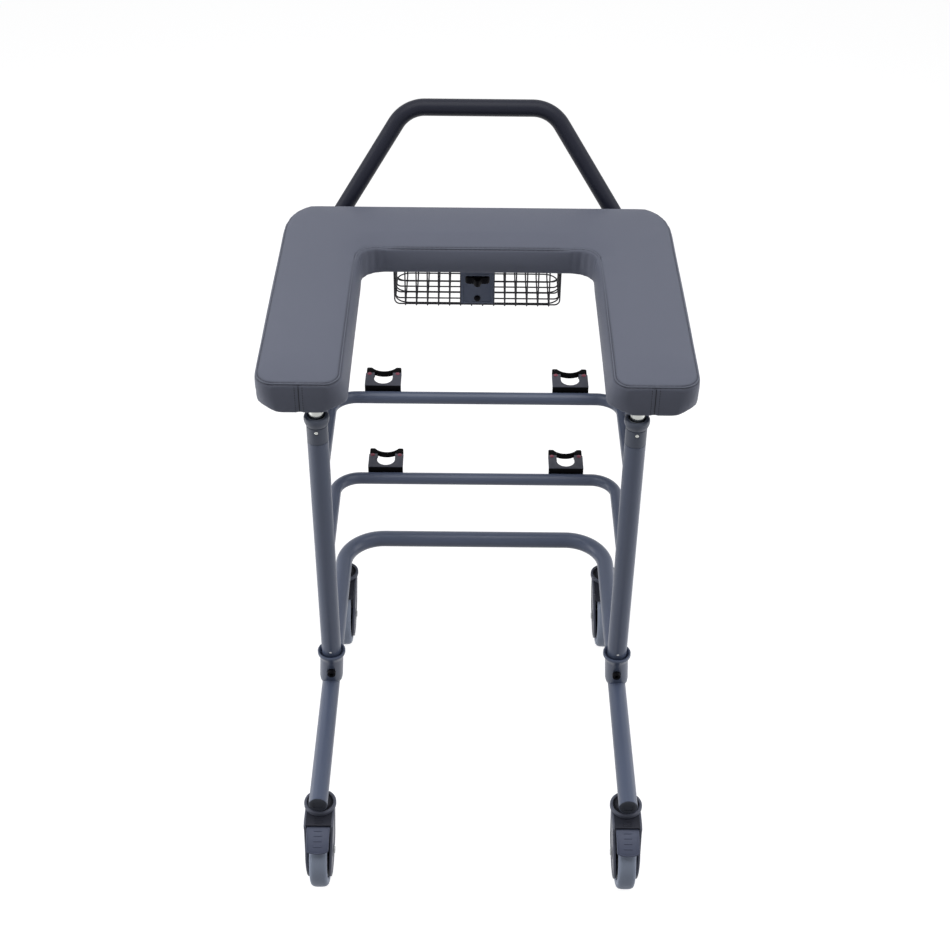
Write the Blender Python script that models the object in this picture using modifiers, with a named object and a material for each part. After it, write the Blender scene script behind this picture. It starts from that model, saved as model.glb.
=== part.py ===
"""Forearm walker: a wheeled tube frame with two telescopic posts and a U-shaped padded armrest.

Metres, +Z up. The user stands at -Y, between the two arms of the pad, and walks towards +Y.
The origin is on the floor, in the middle of the walker's length and width.
"""

from math import acos, asin, cos, pi, radians, sin, sqrt, tan

import bmesh
import bpy
from mathutils import Matrix, Vector

# Clearance between two pieces that touch
GAP = 0.0003

# Casters
WHEEL_RADIUS = 0.0625
TYRE_WIDTH = 0.0305
TREAD_WIDTH = 0.018
TYRE_DEPTH = 0.015
HUB_RIM_WIDTH = 0.024
HUB_WEB = 0.008
HUB_BOSS_RADIUS = 0.014
AXLE_RADIUS = 0.004
AXLE_HEAD_RADIUS = 0.0075
AXLE_HEAD_HEIGHT = 0.0024
TRAIL = 0.035
CASTER_CROWN = 0.022
CHEEK_GAP = 0.043
CHEEK_THICKNESS = 0.005
CHEEK_RADIUS = 0.045
CHEEK_LEAN = 0.0465
WHEEL_CLEARANCE = 0.004
RING_RADIUS = 0.0275
RING_HEIGHT = 0.007
RING_LIP = 0.005
RACE_DEPTH = 0.004
SPINDLE_RADIUS = 0.005
STEM_RADIUS = 0.006
STEM_REACH = 0.024
BOSS_RADIUS = 0.011
BOSS_HEIGHT = 0.0087
PEDAL_THICKNESS = 0.004
PEDAL_CLEARANCE = 0.007
PEDAL_START = radians(5)
PEDAL_END = radians(46)
PEDAL_TIP_WIDTH = 0.035
PEDAL_BARREL_RADIUS = 0.0035
PEDAL_PIN_RADIUS = 0.002
PEDAL_PIN_REACH = 0.0022
PEDAL_RIDGES = 4
PEDAL_RIDGE_HEIGHT = 0.0009
NEAR_SWIVEL_Y = -0.4404
FAR_SWIVEL_Y = 0.161

# Base tube
HALF_TRACK = 0.262
BASE_OD = 0.032
BASE_WALL = 0.002
BASE_BEND = 0.078
BASE_OVERHANG = 0.030
BASE_FAR_REACH = 0.0723
PLUG_DEPTH = 0.016
PLUG_CAP = 0.0012

# Posts and their sockets
POST_HALF_TRACK = 0.2585
POST_Y = -0.1705
POST_OD = 0.035
POST_WALL = 0.002
POST_LENGTH = 0.525
SOCKET_WALL = 0.0032
SOCKET_FLOOR = 0.0025
SOCKET_HEIGHT = 0.0555
SOCKET_SKIRT = 0.003
SOCKET_LIP_RADIUS = 0.025
SOCKET_LIP_HEIGHT = 0.006
SOCKET_FLARE = 0.007
BOLT_HEIGHT = 0.021
BOLT_RADIUS = 0.004
BOLT_HEAD_RADIUS = 0.0065
BOLT_HEAD_HEIGHT = 0.0075
HEX_RADIUS = 0.0035
HEX_DEPTH = 0.004
SPOT_FACE = 0.0014

# Height adjustment
INNER_OD = 0.025
INNER_WALL = 0.0015
COLLAR_BODY = 0.032
COLLAR_CAP = 0.018
COLLAR_CAP_RADIUS = 0.0205
COLLAR_SPIGOT = 0.065
COLLAR_MOUTH = 0.0028
CLAMP_SCREW_RADIUS = 0.0033
CLAMP_SCREW_DROP = 0.0256
BUSH_LENGTH = 0.035
BUSH_FLANGE = 0.012
CHROME_SHOWING = 0.0141

# Rails between the posts
RAIL_OD = 0.022
RAIL_WALL = 0.0015
RAIL_HEIGHTS = {"lower": 0.445, "upper": 0.6275}
RAIL_REACH = 0.2513
RAIL_BEND = 0.045

# Clips on the rails
CLIP_X = 0.168
CLIP_WIDTH = 0.0645
CLIP_DEPTH = 0.0405
CLIP_HEIGHT = 0.030
CLIP_RISE = 0.020
CLIP_SADDLE = 0.0018
CLIP_HOLE_RADIUS = 0.0165
CLIP_BACK = 0.0057
CLIP_PLATE = 0.0035
CLIP_FOOT = 0.006
CRADLE_RADIUS = 0.0264
CRADLE_DEPTH = 0.012
BAND_REACH = 0.0062
BAND_THICKNESS = 0.0042
GRIP_HEIGHT = 0.010

# Armrest pad and what carries it
PAD_OVERHANG = 0.0251
PAD_HALF_WIDTH = 0.357
PAD_DEPTH = 0.5986
PAD_ARM = 0.1503
PAD_FAR_BAR = 0.153
PAD_SIDE = 0.060
PAD_CROWN = 0.006
PAD_FAR_CORNER = 0.070
PAD_NEAR_CORNER = 0.028
PAD_GAP_NEAR_CORNER = 0.026
PAD_GAP_FAR_CORNER = 0.024
BOARD_THICKNESS = 0.012
BOARD_INSET = 0.012
PLATE_THICKNESS = 0.003
PLATE_ARM_INSIDE = 0.020
PLATE_ARM_OUTSIDE = 0.046
PLATE_NEAR = 0.0135
PLATE_STRIP = 0.060
PLATE_FAR_SETBACK = 0.060

# Handle tube
HANDLE_OD = 0.032
HANDLE_WALL = 0.002
HANDLE_RUN_OFFSET = 0.0285
HANDLE_RUN_START = 0.0905
HANDLE_SETBACK = 0.0306
HANDLE_LEAN = 0.0883
HANDLE_RISE = 0.2204
HANDLE_TOP_HALF = 0.1369
HANDLE_LOW_BEND = 0.060
HANDLE_TOP_BEND = 0.065
HANDLE_PLUG_RADIUS = 0.0155

# Basket and its bracket
BASKET_HALF_LENGTH = 0.157
BASKET_PITCH_X = 0.0210
BASKET_COLUMNS = 13
BASKET_PITCH_Y = 0.0225
BASKET_ROWS = 5
BASKET_FIRST_RING = 0.0292
BASKET_PITCH_Z = 0.0229
BASKET_RINGS = 3
BASKET_WIRE = 0.003
BASKET_DROP = 0.1160
BRACKET_SETBACK = 0.0828
BRACKET_WIDTH = 0.062
BRACKET_THICKNESS = 0.003
BRACKET_HEIGHT = 0.1082
BRACKET_FLANGE = 0.048
KNOB_OFFSET = 0.034
KNOB_RADIUS = 0.0195
KNOB_LOBE = 0.004
KNOB_LOBES = 5
KNOB_HEIGHT = 0.017
KNOB_NECK_RADIUS = 0.010
KNOB_NECK = 0.0219
STUD_RADIUS = 0.004
BASKET_BOLT_RADIUS = 0.003
BASKET_BOLT_HEAD = 0.0062
BASKET_BOLT_RISE = 0.0118
STRIP_HALF_LENGTH = 0.025
STRIP_HEIGHT = 0.016
STRIP_THICKNESS = 0.003

# Facets
ROUND = 18
COARSE = 10
TYRE_FACETS = 32
HUB_FACETS = 16

# Heights and places that follow from the sizes above
CASTER_HEIGHT = 2 * WHEEL_RADIUS + CASTER_CROWN
FORK_HALF = CHEEK_GAP / 2 + CHEEK_THICKNESS
SOCKET_OFFSET = HALF_TRACK - POST_HALF_TRACK
BASE_Z = CASTER_HEIGHT + BOSS_HEIGHT + GAP + BASE_OD / 2
BASE_NEAR_Y = NEAR_SWIVEL_Y - BASE_OVERHANG
BASE_FAR_Y = FAR_SWIVEL_Y + BASE_FAR_REACH
POST_BOTTOM = BASE_Z + BASE_OD / 2 + GAP + SOCKET_FLOOR + GAP
POST_TOP = POST_BOTTOM + POST_LENGTH
COLLAR_SEAT = POST_TOP + GAP
COLLAR_TOP = COLLAR_SEAT + COLLAR_BODY + COLLAR_CAP
PLATE_BOTTOM = COLLAR_TOP + CHROME_SHOWING
PAD_BOTTOM = PLATE_BOTTOM + PLATE_THICKNESS + GAP
PAD_NEAR_Y = POST_Y - PAD_OVERHANG
PAD_FAR_Y = PAD_NEAR_Y + PAD_DEPTH
PAD_GAP_FAR_Y = PAD_FAR_Y - PAD_FAR_BAR
PAD_GAP_HALF = PAD_HALF_WIDTH - PAD_ARM
RAIL_FAR_Y = POST_Y + RAIL_REACH
INNER_RADIUS = INNER_OD / 2
INNER_TOP = PLATE_BOTTOM - GAP
BOLT_Z = BASE_Z + BASE_OD / 2 + BOLT_HEIGHT
BUSH_BOTTOM = BOLT_Z + BOLT_RADIUS + GAP
INNER_BOTTOM = BUSH_BOTTOM + BUSH_FLANGE + GAP
RUN_Z = PLATE_BOTTOM - GAP - HANDLE_OD / 2
RUN_X = POST_HALF_TRACK + HANDLE_RUN_OFFSET
RUN_START_Y = POST_Y + HANDLE_RUN_START
HANDLE_CORNER_Y = PAD_FAR_Y + HANDLE_SETBACK
BRACKET_Y = PAD_GAP_FAR_Y + BRACKET_SETBACK
BRACKET_TOP = PLATE_BOTTOM - GAP
BRACKET_BOTTOM = BRACKET_TOP - BRACKET_HEIGHT
BASKET_NEAR_Y = BRACKET_Y + BRACKET_THICKNESS + GAP + BASKET_WIRE / 2
BASKET_FLOOR = PLATE_BOTTOM - BASKET_DROP
KNOB_Y = BRACKET_Y - KNOB_OFFSET

# The local X, Y and Z of a flat outline, as columns in the walker's own axes
FLAT = Matrix(((1, 0, 0), (0, 1, 0), (0, 0, 1)))
SIDEWAYS = Matrix(((0, 0, 1), (1, 0, 0), (0, 1, 0)))

SIDES = {"left": -1, "right": 1}


def clear_scene():
    for item in list(bpy.data.objects):
        bpy.data.objects.remove(item, do_unlink=True)


def make_collection(name):
    collection = bpy.data.collections.new(name)
    bpy.context.scene.collection.children.link(collection)
    return collection


def make_material(name, colour, roughness, metallic):
    material = bpy.data.materials.new(name)
    material.use_nodes = True
    shader = material.node_tree.nodes["Principled BSDF"]
    shader.inputs["Base Color"].default_value = (*colour, 1)
    shader.inputs["Roughness"].default_value = roughness
    shader.inputs["Metallic"].default_value = metallic
    return material


clear_scene()
WALKER = make_collection("forearm_walker")
CUTTERS = make_collection("cutters")
FRAME_PAINT = make_material("frame_paint", (0.10, 0.12, 0.16), 0.38, 0.3)
HANDLE_PAINT = make_material("handle_paint", (0.02, 0.02, 0.03), 0.40, 0.0)
CHROME = make_material("chrome", (0.62, 0.63, 0.62), 0.20, 1.0)
STEEL = make_material("steel", (0.45, 0.46, 0.47), 0.35, 1.0)
WIRE_PAINT = make_material("wire_paint", (0.03, 0.03, 0.04), 0.45, 0.0)
BLACK_PLASTIC = make_material("black_plastic", (0.015, 0.015, 0.02), 0.50, 0.0)
GREY_PLASTIC = make_material("grey_plastic", (0.07, 0.08, 0.10), 0.50, 0.0)
BLACK_RUBBER = make_material("black_rubber", (0.01, 0.01, 0.012), 0.80, 0.0)
TREAD = make_material("tread", (0.13, 0.15, 0.20), 0.65, 0.0)
VINYL = make_material("vinyl", (0.11, 0.12, 0.15), 0.55, 0.0)
PLYWOOD = make_material("plywood", (0.45, 0.32, 0.19), 0.70, 0.0)


def add_object(name, data, material=None, collection=WALKER):
    item = bpy.data.objects.new(name, data)
    if material:
        data.materials.append(material)
    collection.objects.link(item)
    return item


def make_cutter(item):
    """Moves a shape to the cutters, which are seen as wires and not rendered."""
    for collection in list(item.users_collection):
        collection.objects.unlink(item)
    CUTTERS.objects.link(item)
    item.hide_render = True
    item.display_type = "WIRE"
    return item


def combine(item, other, operation):
    make_cutter(other)
    boolean = item.modifiers.new(operation.lower(), "BOOLEAN")
    boolean.operation = operation
    boolean.solver = "EXACT"
    boolean.object = other
    return item


def cut(item, other):
    return combine(item, other, "DIFFERENCE")


def join(item, other):
    return combine(item, other, "UNION")


def finished_mesh(item):
    """The evaluated shape as one plain mesh. The object and its cutters are removed."""
    bpy.context.view_layer.update()
    graph = bpy.context.evaluated_depsgraph_get()
    mesh = bpy.data.meshes.new_from_object(item.evaluated_get(graph))
    mesh.transform(item.matrix_world)
    used = [item] + [m.object for m in item.modifiers if m.type == "BOOLEAN"]
    for old in used:
        bpy.data.objects.remove(old, do_unlink=True)
    return mesh


def smooth(mesh, angle=30):
    mesh.shade_smooth()
    mesh.set_sharp_from_angle(angle=radians(angle))


def mesh_object(name, make, material=None):
    """An object whose mesh is filled by make, which works on a bmesh."""
    shape = bmesh.new()
    make(shape)
    mesh = bpy.data.meshes.new(name)
    shape.to_mesh(mesh)
    shape.free()
    return add_object(name, mesh, material)


def box(name, low, high, material=None):
    low, high = Vector(low), Vector(high)
    size = Matrix.Diagonal((*(high - low), 1))
    place = Matrix.Translation((low + high) / 2)

    def make(shape):
        bmesh.ops.create_cube(shape, size=1, matrix=place @ size)

    return mesh_object(name, make, material)


def rod(name, start, end, radius, material=None, segments=ROUND):
    """A solid cylinder between two points."""
    start, end = Vector(start), Vector(end)
    turn = (end - start).to_track_quat("Z", "Y").to_matrix().to_4x4()
    place = Matrix.Translation((start + end) / 2) @ turn

    def make(shape):
        bmesh.ops.create_cone(
            shape,
            cap_ends=True,
            segments=segments,
            radius1=radius,
            radius2=radius,
            depth=(end - start).length,
            matrix=place,
        )

    return mesh_object(name, make, material)


def turned(name, profile, material=None, closed=False, segments=ROUND):
    """A profile of (radius, height) points turned about Z. Its outer side runs from top to bottom."""
    count = len(profile)
    edges = [(i, i + 1) for i in range(count - 1)]
    if closed:
        edges.append((count - 1, 0))
    mesh = bpy.data.meshes.new(name)
    mesh.from_pydata([(radius, 0, height) for radius, height in profile], edges, [])
    item = add_object(name, mesh, material)
    screw = item.modifiers.new("turn", "SCREW")
    screw.steps = segments
    screw.render_steps = segments
    screw.use_merge_vertices = True
    screw.merge_threshold = 0.00001
    screw.use_smooth_shade = False
    return item


def turned_along(axis, name, profile, material=None, closed=False, segments=ROUND):
    """A turned shape whose heights run along +X or along -Y."""
    item = turned(name, profile, material, closed, segments)
    item.rotation_euler = (0, pi / 2, 0) if axis == "+X" else (pi / 2, 0, 0)
    mesh = finished_mesh(item)
    return add_object(name, mesh)


def arc(centre, radius, start, end, steps):
    """Points on an arc about a 2D centre, from one angle to another, both ends included."""
    points = []
    for step in range(steps + 1):
        angle = start + (end - start) * step / steps
        points.append((centre[0] + radius * cos(angle), centre[1] + radius * sin(angle)))
    return points


def flat_shape(name, outline, thickness, plane=FLAT, material=None, holes=()):
    """A flat outline with a thickness, centred on its plane, as a mesh."""
    curve = bpy.data.curves.new(name, "CURVE")
    curve.dimensions = "2D"
    curve.fill_mode = "BOTH"
    curve.extrude = thickness / 2
    for loop in (outline, *holes):
        spline = curve.splines.new("POLY")
        spline.points.add(len(loop) - 1)
        for point, (across, along) in zip(spline.points, loop):
            point.co = (across, along, 0, 1)
        spline.use_cyclic_u = True
    item = add_object(name, curve)
    mesh = finished_mesh(item)
    weld(mesh)
    mesh.transform(plane.to_4x4())
    return add_object(name, mesh, material)


def weld(mesh):
    """Closes the loose caps of a shape that was made from a curve."""
    shape = bmesh.new()
    shape.from_mesh(mesh)
    bmesh.ops.remove_doubles(shape, verts=shape.verts, dist=0.000005)
    bmesh.ops.recalc_face_normals(shape, faces=shape.faces)
    shape.to_mesh(mesh)
    shape.free()


def bent_path(corners, radii, steps):
    """A path through corner points, with each inner corner rounded by its own radius."""
    points = [Vector(corners[0])]
    for before, corner, after, radius in zip(corners, corners[1:], corners[2:], radii):
        corner = Vector(corner)
        back = (Vector(before) - corner).normalized()
        ahead = (Vector(after) - corner).normalized()
        half = back.angle(ahead) / 2
        middle = (back + ahead).normalized()
        centre = corner + middle * radius / sin(half)
        first = corner + back * radius / tan(half) - centre
        turn_axis = first.cross(corner + ahead * radius / tan(half) - centre).normalized()
        for step in range(steps + 1):
            angle = (pi - 2 * half) * step / steps
            points.append(centre + Matrix.Rotation(angle, 3, turn_axis) @ first)
    points.append(Vector(corners[-1]))
    return points


def tube(name, path, outer, wall, resolution, material):
    """A hollow round tube along a path, with twice resolution plus four sides."""
    curve = bpy.data.curves.new(name, "CURVE")
    curve.dimensions = "3D"
    curve.bevel_depth = outer / 2
    curve.bevel_resolution = resolution
    spline = curve.splines.new("POLY")
    spline.points.add(len(path) - 1)
    for point, place in zip(spline.points, path):
        point.co = (*place, 1)
    item = add_object(name, curve)
    mesh = finished_mesh(item)
    weld(mesh)
    item = add_object(name, mesh, material)
    shell = item.modifiers.new("wall", "SOLIDIFY")
    shell.thickness = wall
    shell.offset = -1
    shell.use_even_offset = True
    return item


# Casters

AXLE = Vector((0, -TRAIL, WHEEL_RADIUS))
PEDAL_OUTER = WHEEL_RADIUS + PEDAL_CLEARANCE + PEDAL_THICKNESS
PEDAL_INNER = WHEEL_RADIUS + PEDAL_CLEARANCE
PEDAL_MIDDLE = (PEDAL_OUTER + PEDAL_INNER) / 2
RACE_FLOOR = CASTER_HEIGHT - RACE_DEPTH
RING_BOTTOM = CASTER_HEIGHT - RING_HEIGHT


def over_wheel(radius, angle):
    """A point (y, z) at a distance from the axle and an angle from upright towards the user."""
    return (AXLE.y - radius * sin(angle), AXLE.z + radius * cos(angle))


PEDAL_PIVOT = over_wheel(PEDAL_MIDDLE, PEDAL_START)


def cheek_outline():
    """The fork's side, as (y, z): a crown under the ring and a round cheek about the axle."""
    top = RING_BOTTOM + GAP
    crown_back = PEDAL_PIVOT[0] - PEDAL_BARREL_RADIUS - 0.003
    crown = [
        (RING_RADIUS - 0.0065, top),
        (PEDAL_PIVOT[0] + 0.004, top),
        (crown_back, PEDAL_PIVOT[1] + 0.003),
        (crown_back - 0.001, PEDAL_PIVOT[1] - 0.006),
    ]
    return crown + arc((AXLE.y, AXLE.z), CHEEK_RADIUS, radians(135), radians(372), 14)


def cheek_shift(height):
    """How far a cheek has come in towards the wheel at a height."""
    return CHEEK_LEAN * (RING_BOTTOM + GAP - height)


def lean_in(item):
    """Moves the points of both sides in towards the wheel, more the lower they are."""
    for vertex in item.data.vertices:
        shift = cheek_shift(vertex.co.z)
        vertex.co.x += -shift if vertex.co.x > 0 else shift
    return item


def fork_mesh(braked):
    fork = lean_in(flat_shape("fork", cheek_outline(), 2 * FORK_HALF, SIDEWAYS))
    lip_inner = RING_RADIUS - RING_LIP
    ring = turned(
        "ring",
        [
            (0, RACE_FLOOR),
            (lip_inner, RACE_FLOOR),
            (lip_inner, CASTER_HEIGHT),
            (RING_RADIUS, CASTER_HEIGHT),
            (RING_RADIUS, RING_BOTTOM),
            (0, RING_BOTTOM),
        ],
    )
    join(fork, ring)
    half = CHEEK_GAP / 2
    room = WHEEL_RADIUS + WHEEL_CLEARANCE
    wheel_room = rod("wheel_room", (-half, AXLE.y, AXLE.z), (half, AXLE.y, AXLE.z), room, segments=24)
    cut(fork, lean_in(wheel_room))
    low, high = (-0.1, AXLE.y, AXLE.z), (0.1, AXLE.y, AXLE.z)
    cut(fork, rod("axle_bore", low, high, AXLE_RADIUS + GAP, segments=COARSE))
    low, high = (0, 0, WHEEL_RADIUS), (0, 0, CASTER_HEIGHT)
    cut(fork, rod("spindle_bore", low, high, SPINDLE_RADIUS + GAP, segments=COARSE))
    if braked:
        y, z = PEDAL_PIVOT
        front = y + PEDAL_BARREL_RADIUS + 0.001
        cut(fork, box("pedal_room", (-half, y - 0.03, z - 0.02), (half, front, CASTER_HEIGHT)))
        reach = half + PEDAL_PIN_REACH + GAP
        cut(fork, rod("pedal_pin_bore", (-reach, y, z), (reach, y, z), PEDAL_PIN_RADIUS + GAP, segments=8))
    return finished_mesh(fork)


def caster_head_mesh():
    race_radius = RING_RADIUS - RING_LIP - 0.0007
    race_bottom = RACE_FLOOR + GAP
    race_top = CASTER_HEIGHT - GAP
    stem_top = CASTER_HEIGHT + BOSS_HEIGHT + STEM_REACH
    spindle_end = RACE_FLOOR - 0.020
    head = turned(
        "head",
        [
            (0, stem_top),
            (STEM_RADIUS, stem_top),
            (STEM_RADIUS, CASTER_HEIGHT + BOSS_HEIGHT),
            (BOSS_RADIUS, CASTER_HEIGHT + BOSS_HEIGHT),
            (BOSS_RADIUS, race_top),
            (race_radius, race_top),
            (race_radius, race_bottom),
            (SPINDLE_RADIUS, race_bottom),
            (SPINDLE_RADIUS, spindle_end),
            (0, spindle_end),
        ],
        segments=12,
    )
    return finished_mesh(head)


def tyre_mesh():
    inner = WHEEL_RADIUS - TYRE_DEPTH
    half, tread = TYRE_WIDTH / 2, TREAD_WIDTH / 2
    shoulder = WHEEL_RADIUS - 0.004
    profile = [
        (shoulder, half),
        (WHEEL_RADIUS, tread),
        (WHEEL_RADIUS, -tread),
        (shoulder, -half),
        (inner, 0.001 - half),
        (inner, half - 0.001),
    ]
    return finished_mesh(turned_along("+X", "tyre", profile, closed=True, segments=TYRE_FACETS))


def hub_mesh():
    rim = WHEEL_RADIUS - TYRE_DEPTH - GAP
    rim_half, web_half = HUB_RIM_WIDTH / 2, HUB_WEB / 2
    boss_half = CHEEK_GAP / 2 - cheek_shift(WHEEL_RADIUS - HUB_BOSS_RADIUS) - GAP
    web_end = rim - 0.009
    bore = AXLE_RADIUS + GAP
    profile = [
        (rim, rim_half),
        (rim, -rim_half),
        (web_end, -web_half),
        (HUB_BOSS_RADIUS, -web_half),
        (HUB_BOSS_RADIUS, -boss_half),
        (bore, -boss_half),
        (bore, boss_half),
        (HUB_BOSS_RADIUS, boss_half),
        (HUB_BOSS_RADIUS, web_half),
        (web_end, web_half),
    ]
    return finished_mesh(turned_along("+X", "hub", profile, closed=True, segments=HUB_FACETS))


def axle_mesh():
    seat = FORK_HALF - cheek_shift(WHEEL_RADIUS + AXLE_HEAD_RADIUS) + GAP
    end = seat + AXLE_HEAD_HEIGHT
    profile = [
        (0, end),
        (AXLE_HEAD_RADIUS, end),
        (AXLE_HEAD_RADIUS, seat),
        (AXLE_RADIUS, seat),
        (AXLE_RADIUS, -seat),
        (AXLE_HEAD_RADIUS, -seat),
        (AXLE_HEAD_RADIUS, -end),
        (0, -end),
    ]
    return finished_mesh(turned_along("+X", "axle", profile, segments=COARSE))


def pedal_outline():
    """The pedal's side, as (y, z): an arc over the tyre with raised ridges across its top."""
    points = []
    span = PEDAL_END - PEDAL_START
    for ridge in range(PEDAL_RIDGES):
        start = PEDAL_START + span * (ridge + 1.2) / (PEDAL_RIDGES + 1.6)
        width = span * 0.3 / (PEDAL_RIDGES + 1)
        points.append(over_wheel(PEDAL_OUTER, start - width))
        points.append(over_wheel(PEDAL_OUTER + PEDAL_RIDGE_HEIGHT, start - width))
        points.append(over_wheel(PEDAL_OUTER + PEDAL_RIDGE_HEIGHT, start + width))
        points.append(over_wheel(PEDAL_OUTER, start + width))
    top = [over_wheel(PEDAL_OUTER, PEDAL_START), *points, over_wheel(PEDAL_OUTER, PEDAL_END)]
    steps = 5
    under = [over_wheel(PEDAL_INNER, PEDAL_END - span * step / steps) for step in range(steps + 1)]
    return top + under


def pedal_mesh():
    root_half = CHEEK_GAP / 2 - 2 * GAP
    pedal = flat_shape("pedal", pedal_outline(), 2 * root_half, SIDEWAYS)
    root_y, tip_y = over_wheel(PEDAL_OUTER, PEDAL_START)[0], over_wheel(PEDAL_OUTER, PEDAL_END)[0]
    for vertex in pedal.data.vertices:
        share = min(1, max(0, (vertex.co.y - root_y) / (tip_y - root_y)))
        vertex.co.x *= 1 - share * (1 - PEDAL_TIP_WIDTH / (2 * root_half))
    y, z = PEDAL_PIVOT
    pin_half = CHEEK_GAP / 2 + PEDAL_PIN_REACH
    join(pedal, rod("barrel", (-root_half, y, z), (root_half, y, z), PEDAL_BARREL_RADIUS, segments=COARSE))
    join(pedal, rod("pin", (-pin_half, y, z), (pin_half, y, z), PEDAL_PIN_RADIUS, segments=8))
    return finished_mesh(pedal)


def add_casters():
    """Four swivel casters, each about an empty on its swivel axis. The near two have brakes."""
    forks = {True: fork_mesh(True), False: fork_mesh(False)}
    meshes = {
        "caster_head": (caster_head_mesh(), STEEL),
        "tyre": (tyre_mesh(), TREAD),
        "wheel_hub": (hub_mesh(), GREY_PLASTIC),
        "wheel_axle": (axle_mesh(), STEEL),
        "brake_pedal": (pedal_mesh(), GREY_PLASTIC),
    }
    for mesh, material in meshes.values():
        mesh.materials.append(material)
        smooth(mesh)
    for mesh in forks.values():
        mesh.materials.append(BLACK_PLASTIC)
        smooth(mesh)
    for end, swivel_y in (("near", NEAR_SWIVEL_Y), ("far", FAR_SWIVEL_Y)):
        for side, sign in SIDES.items():
            corner = f"{end}_{side}"
            swivel = add_object(f"swivel_axis_{corner}", None)
            swivel.location = (sign * HALF_TRACK, swivel_y, 0)
            pieces = [("fork", forks[end == "near"], Vector())]
            pieces.append(("caster_head", meshes["caster_head"][0], Vector()))
            pieces += [(kind, meshes[kind][0], AXLE) for kind in ("tyre", "wheel_hub", "wheel_axle")]
            if end == "near":
                pieces.append(("brake_pedal", meshes["brake_pedal"][0], Vector()))
            for kind, mesh, place in pieces:
                piece = add_object(f"{kind}_{corner}", mesh)
                piece.parent = swivel
                piece.location = place


# Frame

def add_base():
    """The floor-level U of tube, open towards the user, and the plugs in its two ends."""
    side = HALF_TRACK
    corners = [
        (-side, BASE_NEAR_Y, BASE_Z),
        (-side, BASE_FAR_Y, BASE_Z),
        (side, BASE_FAR_Y, BASE_Z),
        (side, BASE_NEAR_Y, BASE_Z),
    ]
    base = tube("base_tube", bent_path(corners, [BASE_BEND] * 2, 6), BASE_OD, BASE_WALL, 5, FRAME_PAINT)
    for swivel_y in (NEAR_SWIVEL_Y, FAR_SWIVEL_Y):
        for sign in SIDES.values():
            low = (sign * side, swivel_y, BASE_Z - BASE_OD)
            high = (sign * side, swivel_y, BASE_Z)
            cut(base, rod("stem_hole", low, high, STEM_RADIUS + GAP, segments=COARSE))
    plug = tube_plug(BASE_OD, BASE_WALL, BASE_OD / 2 - 0.0012)
    for name, sign in SIDES.items():
        item = add_object(f"base_plug_{name}", plug, BLACK_PLASTIC if name == "left" else None)
        item.location = (sign * side, BASE_NEAR_Y, BASE_Z)


def tube_plug(outer, wall, cap_radius):
    """A plug for a tube end that faces -Y: a low cap outside and a spigot in the tube."""
    bore = (outer / 2 - wall) * cos(pi / 14) - GAP
    profile = [
        (0, PLUG_CAP + GAP),
        (cap_radius - 0.002, PLUG_CAP + GAP),
        (cap_radius, PLUG_CAP / 2 + GAP),
        (cap_radius, GAP),
        (bore, GAP),
        (bore, -PLUG_DEPTH),
        (0, -PLUG_DEPTH),
    ]
    return finished_mesh(turned_along("-Y", "plug", profile, segments=14))


def socket_mesh(tube_x):
    """A socket with a flared mouth, astride the base tube at tube_x. Its post stands at x = y = 0."""
    bore = POST_OD / 2 + GAP
    body = bore + SOCKET_WALL
    top = BASE_Z + SOCKET_HEIGHT + BASE_OD / 2 + 0.0025
    lip_bottom = top - SOCKET_LIP_HEIGHT
    mouth = SOCKET_LIP_RADIUS - 0.003
    socket = turned(
        "socket",
        [
            (0, POST_BOTTOM - GAP),
            (bore, POST_BOTTOM - GAP),
            (bore, lip_bottom),
            (mouth, top),
            (SOCKET_LIP_RADIUS, top),
            (SOCKET_LIP_RADIUS, lip_bottom),
            (body, lip_bottom - SOCKET_FLARE),
            (body, BASE_Z + SOCKET_SKIRT),
            (0, BASE_Z + SOCKET_SKIRT),
        ],
    )
    tube_room = BASE_OD / 2 + GAP
    cut(socket, rod("tube_room", (tube_x, -0.1, BASE_Z), (tube_x, 0.1, BASE_Z), tube_room, segments=32))
    cut(socket, rod("bolt_hole", (0, -0.1, BOLT_Z), (0, 0.1, BOLT_Z), BOLT_RADIUS + GAP, segments=COARSE))
    low, high = (0, -0.1, BOLT_Z), (0, SPOT_FACE - body, BOLT_Z)
    cut(socket, rod("spot_face", low, high, BOLT_HEAD_RADIUS + 0.0012, segments=COARSE))
    return finished_mesh(socket)


def socket_bolt_mesh():
    """The bolt through socket and post, its head towards the user."""
    body = POST_OD / 2 + GAP + SOCKET_WALL
    seat = body - SPOT_FACE + GAP
    bolt = turned_along(
        "-Y",
        "bolt",
        [
            (0, seat + BOLT_HEAD_HEIGHT),
            (BOLT_HEAD_RADIUS - 0.0008, seat + BOLT_HEAD_HEIGHT),
            (BOLT_HEAD_RADIUS, seat + BOLT_HEAD_HEIGHT - 0.0008),
            (BOLT_HEAD_RADIUS, seat),
            (BOLT_RADIUS, seat),
            (BOLT_RADIUS, 0.0005 - body),
            (0, 0.0005 - body),
        ],
        segments=12,
    )
    end = seat + BOLT_HEAD_HEIGHT
    hexagon = rod("hexagon", (0, -end - 0.01, 0), (0, HEX_DEPTH - end, 0), HEX_RADIUS, segments=6)
    cut(bolt, hexagon)
    return finished_mesh(bolt)


def hollow(name, outer, wall, bottom, top, segments=ROUND):
    """A straight tube along Z."""
    profile = [(outer, top), (outer, bottom), (outer - wall, bottom), (outer - wall, top)]
    return turned(name, profile, closed=True, segments=segments)


def post_mesh():
    post = hollow("post", POST_OD / 2, POST_WALL, POST_BOTTOM, POST_TOP)
    cut(post, rod("bolt_hole", (0, -0.1, BOLT_Z), (0, 0.1, BOLT_Z), BOLT_RADIUS + GAP, segments=COARSE))
    return finished_mesh(post)


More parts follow.
